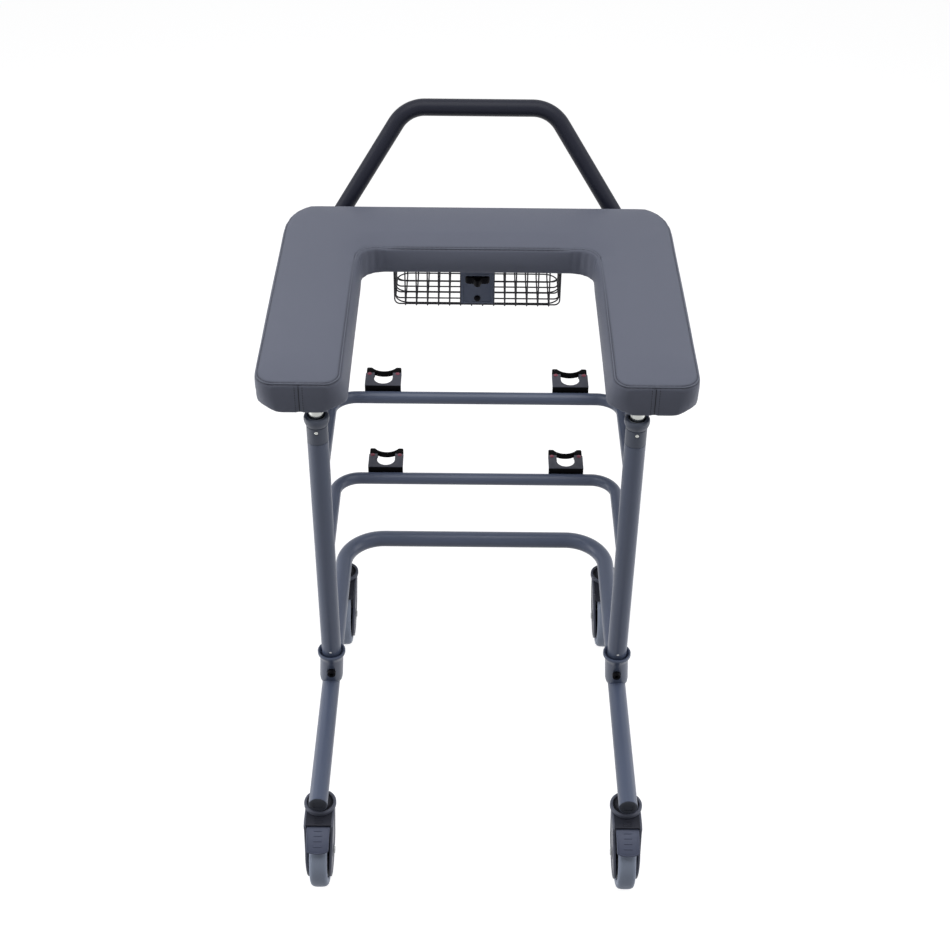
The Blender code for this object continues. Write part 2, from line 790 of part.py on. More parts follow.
def collar_mesh():
    """The guide in the post's top: a spigot inside it, a body level with it and a wider cap."""
    bore = INNER_RADIUS + GAP
    spigot = POST_OD / 2 - POST_WALL - GAP
    body = POST_OD / 2
    cap_bottom = COLLAR_SEAT + COLLAR_BODY
    collar = turned(
        "collar",
        [
            (bore + COLLAR_MOUTH, COLLAR_TOP),
            (COLLAR_CAP_RADIUS - 0.003, COLLAR_TOP),
            (COLLAR_CAP_RADIUS, COLLAR_TOP - 0.003),
            (COLLAR_CAP_RADIUS, cap_bottom),
            (body, cap_bottom),
            (body, COLLAR_SEAT),
            (spigot, COLLAR_SEAT),
            (spigot, COLLAR_SEAT - COLLAR_SPIGOT),
            (bore, COLLAR_SEAT - COLLAR_SPIGOT),
            (bore, COLLAR_TOP - COLLAR_MOUTH),
        ],
        closed=True,
    )
    z = COLLAR_TOP - CLAMP_SCREW_DROP
    cut(collar, rod("screw_hole", (0, -0.1, z), (0, 0, z), CLAMP_SCREW_RADIUS + GAP, segments=COARSE))
    return finished_mesh(collar)


def clamp_screw_mesh():
    """The round-headed screw in the collar's near side, its tip on the inner tube."""
    tip = INNER_RADIUS + GAP
    face = POST_OD / 2
    profile = [
        (0, face + 0.0008),
        (CLAMP_SCREW_RADIUS * 0.7, face + 0.0005),
        (CLAMP_SCREW_RADIUS, face - 0.0005),
        (CLAMP_SCREW_RADIUS, tip),
        (0, tip),
    ]
    return finished_mesh(turned_along("-Y", "screw", profile, segments=COARSE))


def bush_mesh():
    """The plastic foot of the inner tube: a spigot in the tube and a flange that rides in the post."""
    flange = POST_OD / 2 - POST_WALL - GAP
    spigot = INNER_RADIUS - INNER_WALL - GAP
    seat = INNER_BOTTOM - GAP
    profile = [
        (spigot - 0.002, seat + BUSH_LENGTH),
        (spigot, seat + BUSH_LENGTH),
        (spigot, seat),
        (flange, seat),
        (flange, seat - BUSH_FLANGE),
        (spigot - 0.002, seat - BUSH_FLANGE),
    ]
    return finished_mesh(turned("bush", profile, closed=True))


def add_posts():
    """Both posts with their sockets, bolts, collars, screws, inner tubes and bushes."""
    screw_z = COLLAR_TOP - CLAMP_SCREW_DROP
    inner = finished_mesh(hollow("inner", INNER_RADIUS, INNER_WALL, INNER_BOTTOM, INNER_TOP))
    pieces = [
        ("socket_bolt", socket_bolt_mesh(), BLACK_PLASTIC, BOLT_Z),
        ("post", post_mesh(), FRAME_PAINT, 0),
        ("post_collar", collar_mesh(), GREY_PLASTIC, 0),
        ("clamp_screw", clamp_screw_mesh(), CHROME, screw_z),
        ("inner_tube", inner, CHROME, 0),
        ("guide_bush", bush_mesh(), BLACK_PLASTIC, 0),
    ]
    for kind, mesh, material, height in pieces:
        mesh.materials.append(material)
        smooth(mesh)
        for side, sign in SIDES.items():
            item = add_object(f"{kind}_{side}", mesh)
            item.location = (sign * POST_HALF_TRACK, POST_Y, height)
    for side, sign in SIDES.items():
        mesh = socket_mesh(sign * SOCKET_OFFSET)
        smooth(mesh)
        item = add_object(f"post_socket_{side}", mesh, FRAME_PAINT)
        item.location = (sign * POST_HALF_TRACK, POST_Y, 0)


def add_rails():
    """Two U-shaped rails whose ends are shaped to the posts."""
    side = POST_HALF_TRACK
    for level, height in RAIL_HEIGHTS.items():
        corners = [
            (-side, POST_Y, height),
            (-side, RAIL_FAR_Y, height),
            (side, RAIL_FAR_Y, height),
            (side, POST_Y, height),
        ]
        path = bent_path(corners, [RAIL_BEND] * 2, 5)
        rail = tube(f"{level}_rail", path, RAIL_OD, RAIL_WALL, 3, FRAME_PAINT)
        for sign in SIDES.values():
            low = (sign * side, POST_Y, height - RAIL_OD)
            high = (sign * side, POST_Y, height + RAIL_OD)
            cut(rail, rod("post_room", low, high, POST_OD / 2 + GAP))


def clip_body_outline():
    """The holder's body in plan, as (x, y), with y from the rail's axis: a fork round a D-shaped hole."""
    near = RAIL_OD / 2 - CLIP_SADDLE
    far = near + CLIP_DEPTH
    half = CLIP_WIDTH / 2
    hole = (0, near + CLIP_BACK + CLIP_HOLE_RADIUS)
    notch = arc(hole, CLIP_HOLE_RADIUS, 0, -pi, 8)
    corner = 0.003
    return [
        (half, near),
        (half, far - corner),
        (half - corner, far),
        (CLIP_HOLE_RADIUS, far),
        *notch,
        (-CLIP_HOLE_RADIUS, far),
        (corner - half, far),
        (-half, far - corner),
        (-half, near),
    ]


def grip_outline():
    """The rubber grip in plan, as (x, y): two blunt jaws joined by a thin band that bows inwards."""
    seat = RAIL_OD / 2 - CLIP_SADDLE + CLIP_DEPTH + GAP
    half = CLIP_WIDTH / 2 - 0.001
    hole = CLIP_HOLE_RADIUS - GAP
    centre = (0, seat + BAND_REACH + CRADLE_RADIUS)
    tip = seat + BAND_REACH + CRADLE_DEPTH
    sweep = acos(1 - CRADLE_DEPTH / CRADLE_RADIUS)
    cradle = arc(centre, CRADLE_RADIUS, -pi / 2 - sweep, -pi / 2 + sweep, 10)
    back_radius = CRADLE_RADIUS + BAND_THICKNESS
    back_sweep = asin(hole / back_radius)
    back = arc(centre, back_radius, -pi / 2 + back_sweep, -pi / 2 - back_sweep, 6)
    return [
        *cradle,
        (half - 0.001, tip),
        (half, tip - 0.003),
        (half, seat),
        (hole, seat),
        *back,
        (-hole, seat),
        (-half, seat),
        (-half, tip - 0.003),
        (0.001 - half, tip),
    ]


def add_clips():
    """Four sprung holders for sticks and tools, two on each rail."""
    top = CLIP_RISE
    bottom = CLIP_RISE - CLIP_HEIGHT
    body = flat_shape("body", clip_body_outline(), CLIP_HEIGHT)
    body.location = (0, 0, (top + bottom) / 2)
    cut(body, rod("rail_room", (-0.1, 0, 0), (0.1, 0, 0), RAIL_OD / 2 + GAP))
    foot = RAIL_OD / 2 - CLIP_SADDLE + CLIP_FOOT
    cut(body, box("plate_underside", (-0.1, foot, bottom - 0.01), (0.1, 0.1, top - CLIP_PLATE)))
    body_mesh = finished_mesh(body)
    grip = flat_shape("grip", grip_outline(), GRIP_HEIGHT)
    grip.location = (0, 0, top - 0.001 - GRIP_HEIGHT / 2)
    grip_mesh = finished_mesh(grip)
    for mesh, material in ((body_mesh, GREY_PLASTIC), (grip_mesh, BLACK_RUBBER)):
        mesh.materials.append(material)
        smooth(mesh)
    for level, height in RAIL_HEIGHTS.items():
        for side, sign in SIDES.items():
            for kind, mesh in (("clip_body", body_mesh), ("clip_grip", grip_mesh)):
                item = add_object(f"{kind}_{level}_{side}", mesh)
                item.location = (sign * CLIP_X, RAIL_FAR_Y, height)


# Armrest

def u_outline(inset, corner_steps=4, softening=0):
    """The pad's plan drawn in by inset, as (x, y), with its near corners rounded more by softening."""
    near, far = PAD_NEAR_Y + inset, PAD_FAR_Y - inset
    outer, gap = PAD_HALF_WIDTH - inset, PAD_GAP_HALF + inset
    gap_far = PAD_GAP_FAR_Y + inset
    near_radius = max(PAD_NEAR_CORNER - inset, 0.004) + softening
    far_radius = max(PAD_FAR_CORNER - inset, 0.006)
    gap_near_radius = max(PAD_GAP_NEAR_CORNER - inset, 0.004) + softening
    gap_far_radius = PAD_GAP_FAR_CORNER + inset
    half = []
    half += arc((outer - near_radius, near + near_radius), near_radius, -pi / 2, 0, corner_steps)
    half += arc((outer - far_radius, far - far_radius), far_radius, 0, pi / 2, corner_steps + 2)
    mirrored = [(-x, y) for x, y in reversed(half)]
    inside = []
    centre = (-gap - gap_near_radius, near + gap_near_radius)
    inside += arc(centre, gap_near_radius, -pi / 2, 0, corner_steps)
    centre = (gap_far_radius - gap, gap_far - gap_far_radius)
    inside += arc(centre, gap_far_radius, pi, pi / 2, corner_steps)
    mirrored_inside = [(-x, y) for x, y in reversed(inside)]
    return half + mirrored + inside + mirrored_inside


def cushion_sections():
    """(inset, height, softening) of each outline of the cushion, from its underside to its crown."""
    bottom = PAD_BOTTOM
    edge = PAD_BOTTOM + PAD_SIDE
    crown = edge + PAD_CROWN
    middle = min(PAD_ARM, PAD_FAR_BAR) / 2
    return [
        (0.004, bottom, 0.014),
        (0.0012, bottom + 0.003, 0.011),
        (0, bottom + 0.016, 0.004),
        (0, bottom + 0.60 * PAD_SIDE, 0),
        (0.0015, edge - 0.006, 0),
        (0.006, edge - 0.0008, 0),
        (0.016, edge + 0.42 * PAD_CROWN, 0),
        (0.6 * middle, crown - 0.0008, 0),
        (0.82 * middle, crown, 0),
    ]


def loft(name, sections, material):
    """A closed shape through outlines at rising heights, each with as many points."""
    shape = bmesh.new()
    rings = []
    for inset, height, softening in sections:
        plan = u_outline(inset, softening=softening)
        rings.append([shape.verts.new((x, y, height)) for x, y in plan])
    for lower, upper in zip(rings, rings[1:]):
        for i in range(len(lower)):
            j = (i + 1) % len(lower)
            shape.faces.new((lower[i], lower[j], upper[j], upper[i]))
    shape.faces.new(reversed(rings[0]))
    shape.faces.new(rings[-1])
    shape.normal_update()
    bmesh.ops.triangulate(shape, faces=[face for face in shape.faces if len(face.verts) > 4])
    bmesh.ops.recalc_face_normals(shape, faces=shape.faces)
    mesh = bpy.data.meshes.new(name)
    shape.to_mesh(mesh)
    shape.free()
    return add_object(name, mesh, material)


def add_pad():
    """The upholstered U, and the plywood board let into its underside."""
    cushion = loft("pad_cushion", cushion_sections(), VINYL)
    smooth(cushion.data, 50)
    room_bottom, room_top = PAD_BOTTOM - 0.01, PAD_BOTTOM + BOARD_THICKNESS + GAP
    room = flat_shape("board_room", u_outline(BOARD_INSET - GAP, 2), room_top - room_bottom)
    room.location.z = (room_bottom + room_top) / 2
    cut(cushion, room)
    board = flat_shape("pad_board", u_outline(BOARD_INSET, 2), BOARD_THICKNESS, material=PLYWOOD)
    board.location.z = PAD_BOTTOM + BOARD_THICKNESS / 2


def add_mount_plate():
    """The steel U under the board that carries the inner tubes, the handle tube and the bracket."""
    near = POST_Y - PLATE_NEAR
    far = PAD_FAR_Y - PLATE_FAR_SETBACK
    outside = POST_HALF_TRACK + PLATE_ARM_OUTSIDE
    inside = POST_HALF_TRACK - PLATE_ARM_INSIDE
    strip = far - PLATE_STRIP
    fillet = 0.02
    outline = [(outside, near), (outside, far), (-outside, far), (-outside, near), (-inside, near)]
    outline += arc((fillet - inside, strip - fillet), fillet, pi, pi / 2, 3)
    outline += arc((inside - fillet, strip - fillet), fillet, pi / 2, 0, 3)
    outline += [(inside, near)]
    hole = arc((0, KNOB_Y), STUD_RADIUS + GAP, 0, 2 * pi * (1 - 1 / COARSE), COARSE - 1)
    plate = flat_shape("mount_plate", outline, PLATE_THICKNESS, material=FRAME_PAINT, holes=[hole])
    plate.location.z = PLATE_BOTTOM + PLATE_THICKNESS / 2


def add_handle():
    """One bent tube: a run under each arm of the pad, two legs that rise and lean in, and a top bar."""
    top_y = HANDLE_CORNER_Y + HANDLE_LEAN
    top_z = RUN_Z + HANDLE_RISE
    right = [
        (HANDLE_TOP_HALF, top_y, top_z),
        (RUN_X, HANDLE_CORNER_Y, RUN_Z),
        (RUN_X, RUN_START_Y, RUN_Z),
    ]
    left = [(-x, y, z) for x, y, z in reversed(right)]
    radii = [HANDLE_LOW_BEND, HANDLE_TOP_BEND, HANDLE_TOP_BEND, HANDLE_LOW_BEND]
    tube("handle_tube", bent_path(left + right, radii, 5), HANDLE_OD, HANDLE_WALL, 5, HANDLE_PAINT)
    plug = tube_plug(HANDLE_OD, HANDLE_WALL, HANDLE_PLUG_RADIUS)
    plug.materials.append(BLACK_PLASTIC)
    smooth(plug)
    for side, sign in SIDES.items():
        item = add_object(f"handle_plug_{side}", plug)
        item.location = (sign * RUN_X, RUN_START_Y, RUN_Z)


# Basket

def basket_plan(inset):
    """The basket's plan as (x, y) points at its wires, anticlockwise, with round corners."""
    step = BASKET_PITCH_Y
    half = BASKET_HALF_LENGTH - inset
    near, far = BASKET_NEAR_Y + inset, BASKET_NEAR_Y + BASKET_ROWS * step - inset
    columns = [(i - BASKET_COLUMNS / 2) * BASKET_PITCH_X for i in range(BASKET_COLUMNS + 1)]
    corner = step - inset
    diagonal = corner * (1 - sqrt(0.5))
    points = [(x, near) for x in columns]
    points += [(half - diagonal, near + diagonal)]
    points += [(half, near + step - inset + i * step) for i in range(BASKET_ROWS - 1)]
    points += [(half - diagonal, far - diagonal)]
    points += [(x, far) for x in reversed(columns)]
    points += [(diagonal - half, far - diagonal)]
    points += [(-half, near + step - inset + i * step) for i in reversed(range(BASKET_ROWS - 1))]
    points += [(diagonal - half, near + diagonal)]
    return points


def basket_surface(shape):
    """The basket as a sheet with one face for each gap between its wires."""
    count = BASKET_COLUMNS + 1
    plan = basket_plan(0)
    rings = []
    heights = [BASKET_FLOOR]
    heights += [BASKET_FLOOR + BASKET_FIRST_RING + i * BASKET_PITCH_Z for i in range(BASKET_RINGS)]
    for height in heights:
        rings.append([shape.verts.new((x, y, height)) for x, y in plan])
    for lower, upper in zip(rings, rings[1:]):
        for i in range(len(plan)):
            j = (i + 1) % len(plan)
            shape.faces.new((lower[i], lower[j], upper[j], upper[i]))
    floor = rings[0]
    rows = BASKET_ROWS - 1
    near = floor[:count]
    right = floor[count + 1:count + 1 + rows]
    far = list(reversed(floor[count + rows + 2:2 * count + rows + 2]))
    left = list(reversed(floor[2 * count + rows + 3:2 * count + 2 * rows + 3]))
    grid = [near]
    for side_left, side_right in zip(left, right):
        y = side_left.co.y
        inner = [shape.verts.new((vertex.co.x, y, BASKET_FLOOR)) for vertex in near]
        grid.append(inner)
    grid.append(far)
    for lower, upper in zip(grid, grid[1:]):
        for i in range(count - 1):
            shape.faces.new((lower[i + 1], lower[i], upper[i], upper[i + 1]))
    for row in range(1, rows):
        shape.faces.new((grid[row][0], left[row - 1], left[row], grid[row + 1][0]))
        shape.faces.new((right[row - 1], grid[row][-1], grid[row + 1][-1], right[row]))
    bends = {
        "right_near": floor[count],
        "right_far": floor[count + rows + 1],
        "left_far": floor[2 * count + rows + 2],
        "left_near": floor[-1],
    }
    shape.faces.new((near[-1], grid[1][-1], right[0], bends["right_near"]))
    shape.faces.new((right[-1], grid[rows][-1], far[-1], bends["right_far"]))
    shape.faces.new((far[0], grid[rows][0], left[-1], bends["left_far"]))
    shape.faces.new((left[0], grid[1][0], near[0], bends["left_near"]))
    bmesh.ops.recalc_face_normals(shape, faces=shape.faces)


def add_basket():
    """The wire basket: its grid is the edges of a folded sheet, turned into square wires."""
    basket = mesh_object("basket", basket_surface, WIRE_PAINT)
    wires = basket.modifiers.new("wires", "WIREFRAME")
    wires.thickness = BASKET_WIRE
    wires.offset = 0
    wires.use_even_offset = True
    wires.use_boundary = True
    wires.use_replace = True


def add_bracket():
    """The bent plate that hangs the basket, its star knob, its bolt and the strip behind the wires."""
    half = BRACKET_WIDTH / 2
    wall = BRACKET_THICKNESS
    front = BRACKET_Y + wall - BRACKET_FLANGE
    outline = [
        (BRACKET_Y, BRACKET_BOTTOM),
        (BRACKET_Y + wall, BRACKET_BOTTOM),
        (BRACKET_Y + wall, BRACKET_TOP),
        (front, BRACKET_TOP),
        (front, BRACKET_TOP - wall),
        (BRACKET_Y, BRACKET_TOP - wall),
    ]
    bracket = flat_shape("basket_bracket", outline, 2 * half, SIDEWAYS, FRAME_PAINT)
    bolt_z = BRACKET_BOTTOM + BASKET_BOLT_RISE
    low, high = (0, KNOB_Y, BRACKET_TOP - 0.01), (0, KNOB_Y, BRACKET_TOP + 0.01)
    cut(bracket, rod("stud_hole", low, high, STUD_RADIUS + GAP, segments=COARSE))
    ends = (0, BRACKET_Y - 0.01, bolt_z), (0, BRACKET_Y + 0.02, bolt_z)
    cut(bracket, rod("bolt_hole", *ends, BASKET_BOLT_RADIUS + GAP, segments=COARSE))

    strip_near = BASKET_NEAR_Y + BASKET_WIRE / 2 + GAP
    strip_far = strip_near + STRIP_THICKNESS
    strip_low = (-STRIP_HALF_LENGTH, strip_near, bolt_z - STRIP_HEIGHT / 2)
    strip_high = (STRIP_HALF_LENGTH, strip_far, bolt_z + STRIP_HEIGHT / 2)
    strip = box("clamp_strip", strip_low, strip_high, STEEL)
    cut(strip, rod("strip_hole", *ends, BASKET_BOLT_RADIUS + GAP, segments=COARSE))

    shank = strip_far - BRACKET_Y
    bolt = turned_along(
        "-Y",
        "basket_bolt",
        [
            (0, 0.0045),
            (BASKET_BOLT_HEAD * 0.6, 0.0040),
            (BASKET_BOLT_HEAD, 0.0018),
            (BASKET_BOLT_HEAD, GAP),
            (BASKET_BOLT_RADIUS, GAP),
            (BASKET_BOLT_RADIUS, -shank),
            (0, -shank),
        ],
        segments=COARSE,
    )
    bolt.location = (0, BRACKET_Y, bolt_z)
    bolt.data.materials.append(BLACK_PLASTIC)


def add_knob():
    """The five-lobed knob under the bracket, its stud up through bracket and plate."""
    top = BRACKET_TOP - BRACKET_THICKNESS - GAP - KNOB_NECK
    outline = []
    points = 6 * KNOB_LOBES
    for step in range(points):
        angle = 2 * pi * step / points
        radius = KNOB_RADIUS + KNOB_LOBE * cos(KNOB_LOBES * angle)
        outline.append((radius * sin(angle), KNOB_Y - radius * cos(angle)))
    knob = flat_shape("star_knob", outline, KNOB_HEIGHT)
    knob.location.z = top - KNOB_HEIGHT / 2
    neck_top = BRACKET_TOP - BRACKET_THICKNESS - GAP
    join(knob, rod("neck", (0, KNOB_Y, top - 0.002), (0, KNOB_Y, neck_top), KNOB_NECK_RADIUS, segments=16))
    stud_top = PLATE_BOTTOM + PLATE_THICKNESS - GAP
    join(knob, rod("stud", (0, KNOB_Y, top - 0.002), (0, KNOB_Y, stud_top), STUD_RADIUS, segments=COARSE))
    knob.data.materials.append(BLACK_PLASTIC)


add_casters()
add_base()
add_posts()
add_rails()
add_clips()
add_pad()
add_mount_plate()
add_handle()
add_basket()
add_bracket()
add_knob()
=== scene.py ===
"""The looks of the forearm walker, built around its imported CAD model. Metres, +Z up.

The user stands at -Y, between the two arms of the pad, and walks towards +Y.
"""

from math import acos, asin, atan2, cos, exp, pi, radians, sin, sqrt, tan, tanh

import bmesh
import bpy
from mathutils import Matrix, Vector
from mathutils.bvhtree import BVHTree
from mathutils.kdtree import KDTree


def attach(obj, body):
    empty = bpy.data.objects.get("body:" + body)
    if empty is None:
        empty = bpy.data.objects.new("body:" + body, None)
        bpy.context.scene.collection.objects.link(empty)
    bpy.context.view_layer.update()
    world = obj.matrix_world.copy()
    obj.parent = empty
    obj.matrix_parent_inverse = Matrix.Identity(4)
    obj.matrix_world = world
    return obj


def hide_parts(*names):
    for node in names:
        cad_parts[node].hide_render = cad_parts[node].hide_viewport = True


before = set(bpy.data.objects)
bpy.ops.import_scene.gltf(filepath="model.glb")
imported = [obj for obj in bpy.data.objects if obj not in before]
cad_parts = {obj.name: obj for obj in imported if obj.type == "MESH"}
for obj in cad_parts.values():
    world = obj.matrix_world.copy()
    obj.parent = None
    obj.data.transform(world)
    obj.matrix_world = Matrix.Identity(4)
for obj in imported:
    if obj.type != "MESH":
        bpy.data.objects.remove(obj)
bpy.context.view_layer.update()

# Sizes repeated from the CAD source, which this script can't read
HALF_TRACK = 0.262
POST_HALF_TRACK = 0.2585
WHEEL_RADIUS = 0.0625
TRAIL = 0.035
CASTER_HEIGHT = 0.147
RING_HEIGHT = 0.007
RING_RADIUS = 0.0275
CHEEK_GAP = 0.043
CHEEK_THICKNESS = 0.005
CHEEK_RADIUS = 0.045
CHEEK_LEAN = 0.0465
SWIVEL_Y = {"near": -0.4404, "far": 0.161}
BASE_Z = 0.172
BASE_OD = 0.032
BASE_NEAR_Y = -0.4704
BASE_FAR_Y = 0.2333
BASE_BEND = 0.078
POST_Y = -0.1705
POST_OD = 0.035
POST_BOTTOM = 0.1911
POST_TOP = 0.7161
SOCKET_TOP = 0.246
BOLT_Z = 0.209
BOLT_RADIUS = 0.004
BOLT_HOLE = 0.0043
COLLAR_TOP = 0.7664
SCREW_Z = 0.7408
INNER_OD = 0.025
INNER_BOTTOM = 0.2264
PLATE_BOTTOM = 0.7805
PLATE_THICKNESS = 0.003
PAD_BOTTOM = 0.7838
PAD_SIDE = 0.060
PAD_NEAR_Y = -0.1956
PAD_FAR_Y = 0.4030
PAD_HALF_WIDTH = 0.3572
PAD_GAP_HALF = 0.2067
PAD_GAP_FAR_Y = 0.250
PAD_FAR_CORNER = (0.056, 0.096)
PAD_NEAR_CORNER = 0.036
PAD_GAP_NEAR_CORNER = 0.034
PAD_GAP_FAR_CORNER = 0.036
RAIL_HEIGHTS = {"lower": 0.445, "upper": 0.6275}
RAIL_OD = 0.022
RAIL_FAR_Y = 0.0808
RAIL_BEND = 0.045
CLIP_X = 0.168
RUN_X = 0.287
RUN_Z = 0.7642
RUN_START_Y = -0.080
HANDLE_OD = 0.032
HANDLE_CORNER_Y = 0.4336
HANDLE_TOP = (0.1369, 0.5219, 0.9846)
HANDLE_LOW_BEND = 0.060
HANDLE_TOP_BEND = 0.065
BRACKET_Y = 0.3328
BRACKET_TOP = 0.7802
BRACKET_BOTTOM = 0.6720
BRACKET_BOLT_Z = 0.6838
CLAMP_STRIP_Y = 0.3394
KNOB_Y = 0.2988
BASKET_NEAR_Y = 0.3376
BASKET_FLOOR = 0.6645
BASKET_RIM = 0.7395
BASKET_DEPTH = 0.1125
BASKET_HALF_LENGTH = 0.157

SIDES = {"left": -1, "right": 1}
CORNERS = [(end, side) for end in ("near", "far") for side in SIDES]

# The photograph's view
CAMERA_PLACE = (-0.0078, -2.230, 2.223)
CAMERA_PITCH = 37.43
CAMERA_YAW = -0.16
CAMERA_ROLL = 0.61
CAMERA_LENS = 59.35


# Node trees


def add_node(tree, kind, wires=None, **settings):
    """A node with its settings, and with sockets or plain values put into its inputs."""
    node = tree.nodes.new(kind)
    for name, value in settings.items():
        setattr(node, name, value)
    for socket, value in (wires or {}).items():
        if isinstance(value, bpy.types.NodeSocket):
            tree.links.new(value, node.inputs[socket])
        else:
            node.inputs[socket].default_value = value
    return node


def start_group(name, kind, inputs, outputs):
    """An empty node group with named sockets, and its two end nodes."""
    tree = bpy.data.node_groups.new(name, kind)
    for label, socket_type, default in inputs:
        socket = tree.interface.new_socket(label, in_out="INPUT", socket_type=socket_type)
        if default is not None:
            socket.default_value = default
    for label, socket_type in outputs:
        tree.interface.new_socket(label, in_out="OUTPUT", socket_type=socket_type)
    return tree, tree.nodes.new("NodeGroupInput"), tree.nodes.new("NodeGroupOutput")


def shader_group(name, inputs, outputs):
    return start_group(name, "ShaderNodeTree", inputs, outputs)


def geometry_group(name, inputs):
    ends = [("Geometry", "NodeSocketGeometry", None), *inputs, ("Finish", "NodeSocketMaterial", None)]
    return start_group(name, "GeometryNodeTree", ends, [("Geometry", "NodeSocketGeometry")])


def end_geometry(tree, enter, leave, result):
    """Ends a tree as every tree here ends: smooth, realized and with its material."""
    soft = add_node(tree, "GeometryNodeSetShadeSmooth", {"Geometry": result})
    real = add_node(tree, "GeometryNodeRealizeInstances", {"Geometry": soft.outputs[0]})
    wires = {"Geometry": real.outputs[0], "Material": enter.outputs["Finish"]}
    coated = add_node(tree, "GeometryNodeSetMaterial", wires)
    tree.links.new(coated.outputs[0], leave.inputs["Geometry"])
    return tree


# Effects that the materials share


def shade_drift_group():
    """A colour that drifts a little lighter and darker over the surface."""
    inputs = [
        ("Vector", "NodeSocketVector", None),
        ("Colour", "NodeSocketColor", (0.5, 0.5, 0.5, 1)),
        ("Scale", "NodeSocketFloat", 12.0),
        ("Spread", "NodeSocketFloat", 0.1),
    ]
    tree, enter, leave = shader_group("shade_drift", inputs, [("Colour", "NodeSocketColor")])
    wires = {"Vector": enter.outputs["Vector"], "Scale": enter.outputs["Scale"], "Detail": 4.0}
    noise = add_node(tree, "ShaderNodeTexNoise", wires)
    wires = {0: noise.outputs["Fac"], 1: -0.5}
    centred = add_node(tree, "ShaderNodeMath", wires, operation="ADD")
    wires = {0: centred.outputs[0], 1: enter.outputs["Spread"], 2: 1.0}
    gain = add_node(tree, "ShaderNodeMath", wires, operation="MULTIPLY_ADD")
    scaled = add_node(tree, "ShaderNodeVectorMath", {0: enter.outputs["Colour"]}, operation="SCALE")
    tree.links.new(gain.outputs[0], scaled.inputs["Scale"])
    tree.links.new(scaled.outputs[0], leave.inputs["Colour"])
    return tree


def gloss_drift_group():
    """A roughness that drifts over the surface, as handled surfaces do."""
    inputs = [
        ("Vector", "NodeSocketVector", None),
        ("Roughness", "NodeSocketFloat", 0.5),
        ("Scale", "NodeSocketFloat", 20.0),
        ("Spread", "NodeSocketFloat", 0.1),
    ]
    tree, enter, leave = shader_group("gloss_drift", inputs, [("Roughness", "NodeSocketFloat")])
    wires = {"Vector": enter.outputs["Vector"], "Scale": enter.outputs["Scale"], "Detail": 5.0}
    noise = add_node(tree, "ShaderNodeTexNoise", wires)
    centred = add_node(tree, "ShaderNodeMath", {0: noise.outputs["Fac"], 1: -0.5}, operation="ADD")
    wires = {0: centred.outputs[0], 1: enter.outputs["Spread"], 2: enter.outputs["Roughness"]}
    drift = add_node(tree, "ShaderNodeMath", wires, operation="MULTIPLY_ADD")
    tree.links.new(drift.outputs[0], leave.inputs["Roughness"])
    return tree


def fine_grain_group():
    """The height of a fine even texture, such as powder coat or moulded plastic has."""
    inputs = [("Vector", "NodeSocketVector", None), ("Scale", "NodeSocketFloat", 900.0)]
    tree, enter, leave = shader_group("fine_grain", inputs, [("Height", "NodeSocketFloat")])
    wires = {"Vector": enter.outputs["Vector"], "Scale": enter.outputs["Scale"], "Detail": 2.0}
    noise = add_node(tree, "ShaderNodeTexNoise", wires)
    tree.links.new(noise.outputs["Fac"], leave.inputs["Height"])
    return tree


def hide_grain_group():
    """The height of a leather-like grain: small rounded cells with fine creases between them."""
    inputs = [("Vector", "NodeSocketVector", None), ("Scale", "NodeSocketFloat", 700.0)]
    tree, enter, leave = shader_group("hide_grain", inputs, [("Height", "NodeSocketFloat")])
    wires = {"Vector": enter.outputs["Vector"], "Scale": 60.0, "Detail": 3.0}
    bend = add_node(tree, "ShaderNodeTexNoise", wires)
    shifted = add_node(tree, "ShaderNodeVectorMath", {0: bend.outputs["Color"]}, operation="SCALE")
    shifted.inputs["Scale"].default_value = 0.002
    wires = {0: enter.outputs["Vector"], 1: shifted.outputs[0]}
    bent = add_node(tree, "ShaderNodeVectorMath", wires, operation="ADD")
    wires = {"Vector": bent.outputs[0], "Scale": enter.outputs["Scale"]}
    cells = add_node(tree, "ShaderNodeTexVoronoi", wires, feature="DISTANCE_TO_EDGE")
    wires = {"Value": cells.outputs["Distance"], "From Max": 0.22}
    rounded_cells = add_node(tree, "ShaderNodeMapRange", wires, interpolation_type="SMOOTHSTEP")
    tree.links.new(rounded_cells.outputs["Result"], leave.inputs["Height"])
    return tree


SHADE_DRIFT = shade_drift_group()
GLOSS_DRIFT = gloss_drift_group()
FINE_GRAIN = fine_grain_group()
HIDE_GRAIN = hide_grain_group()


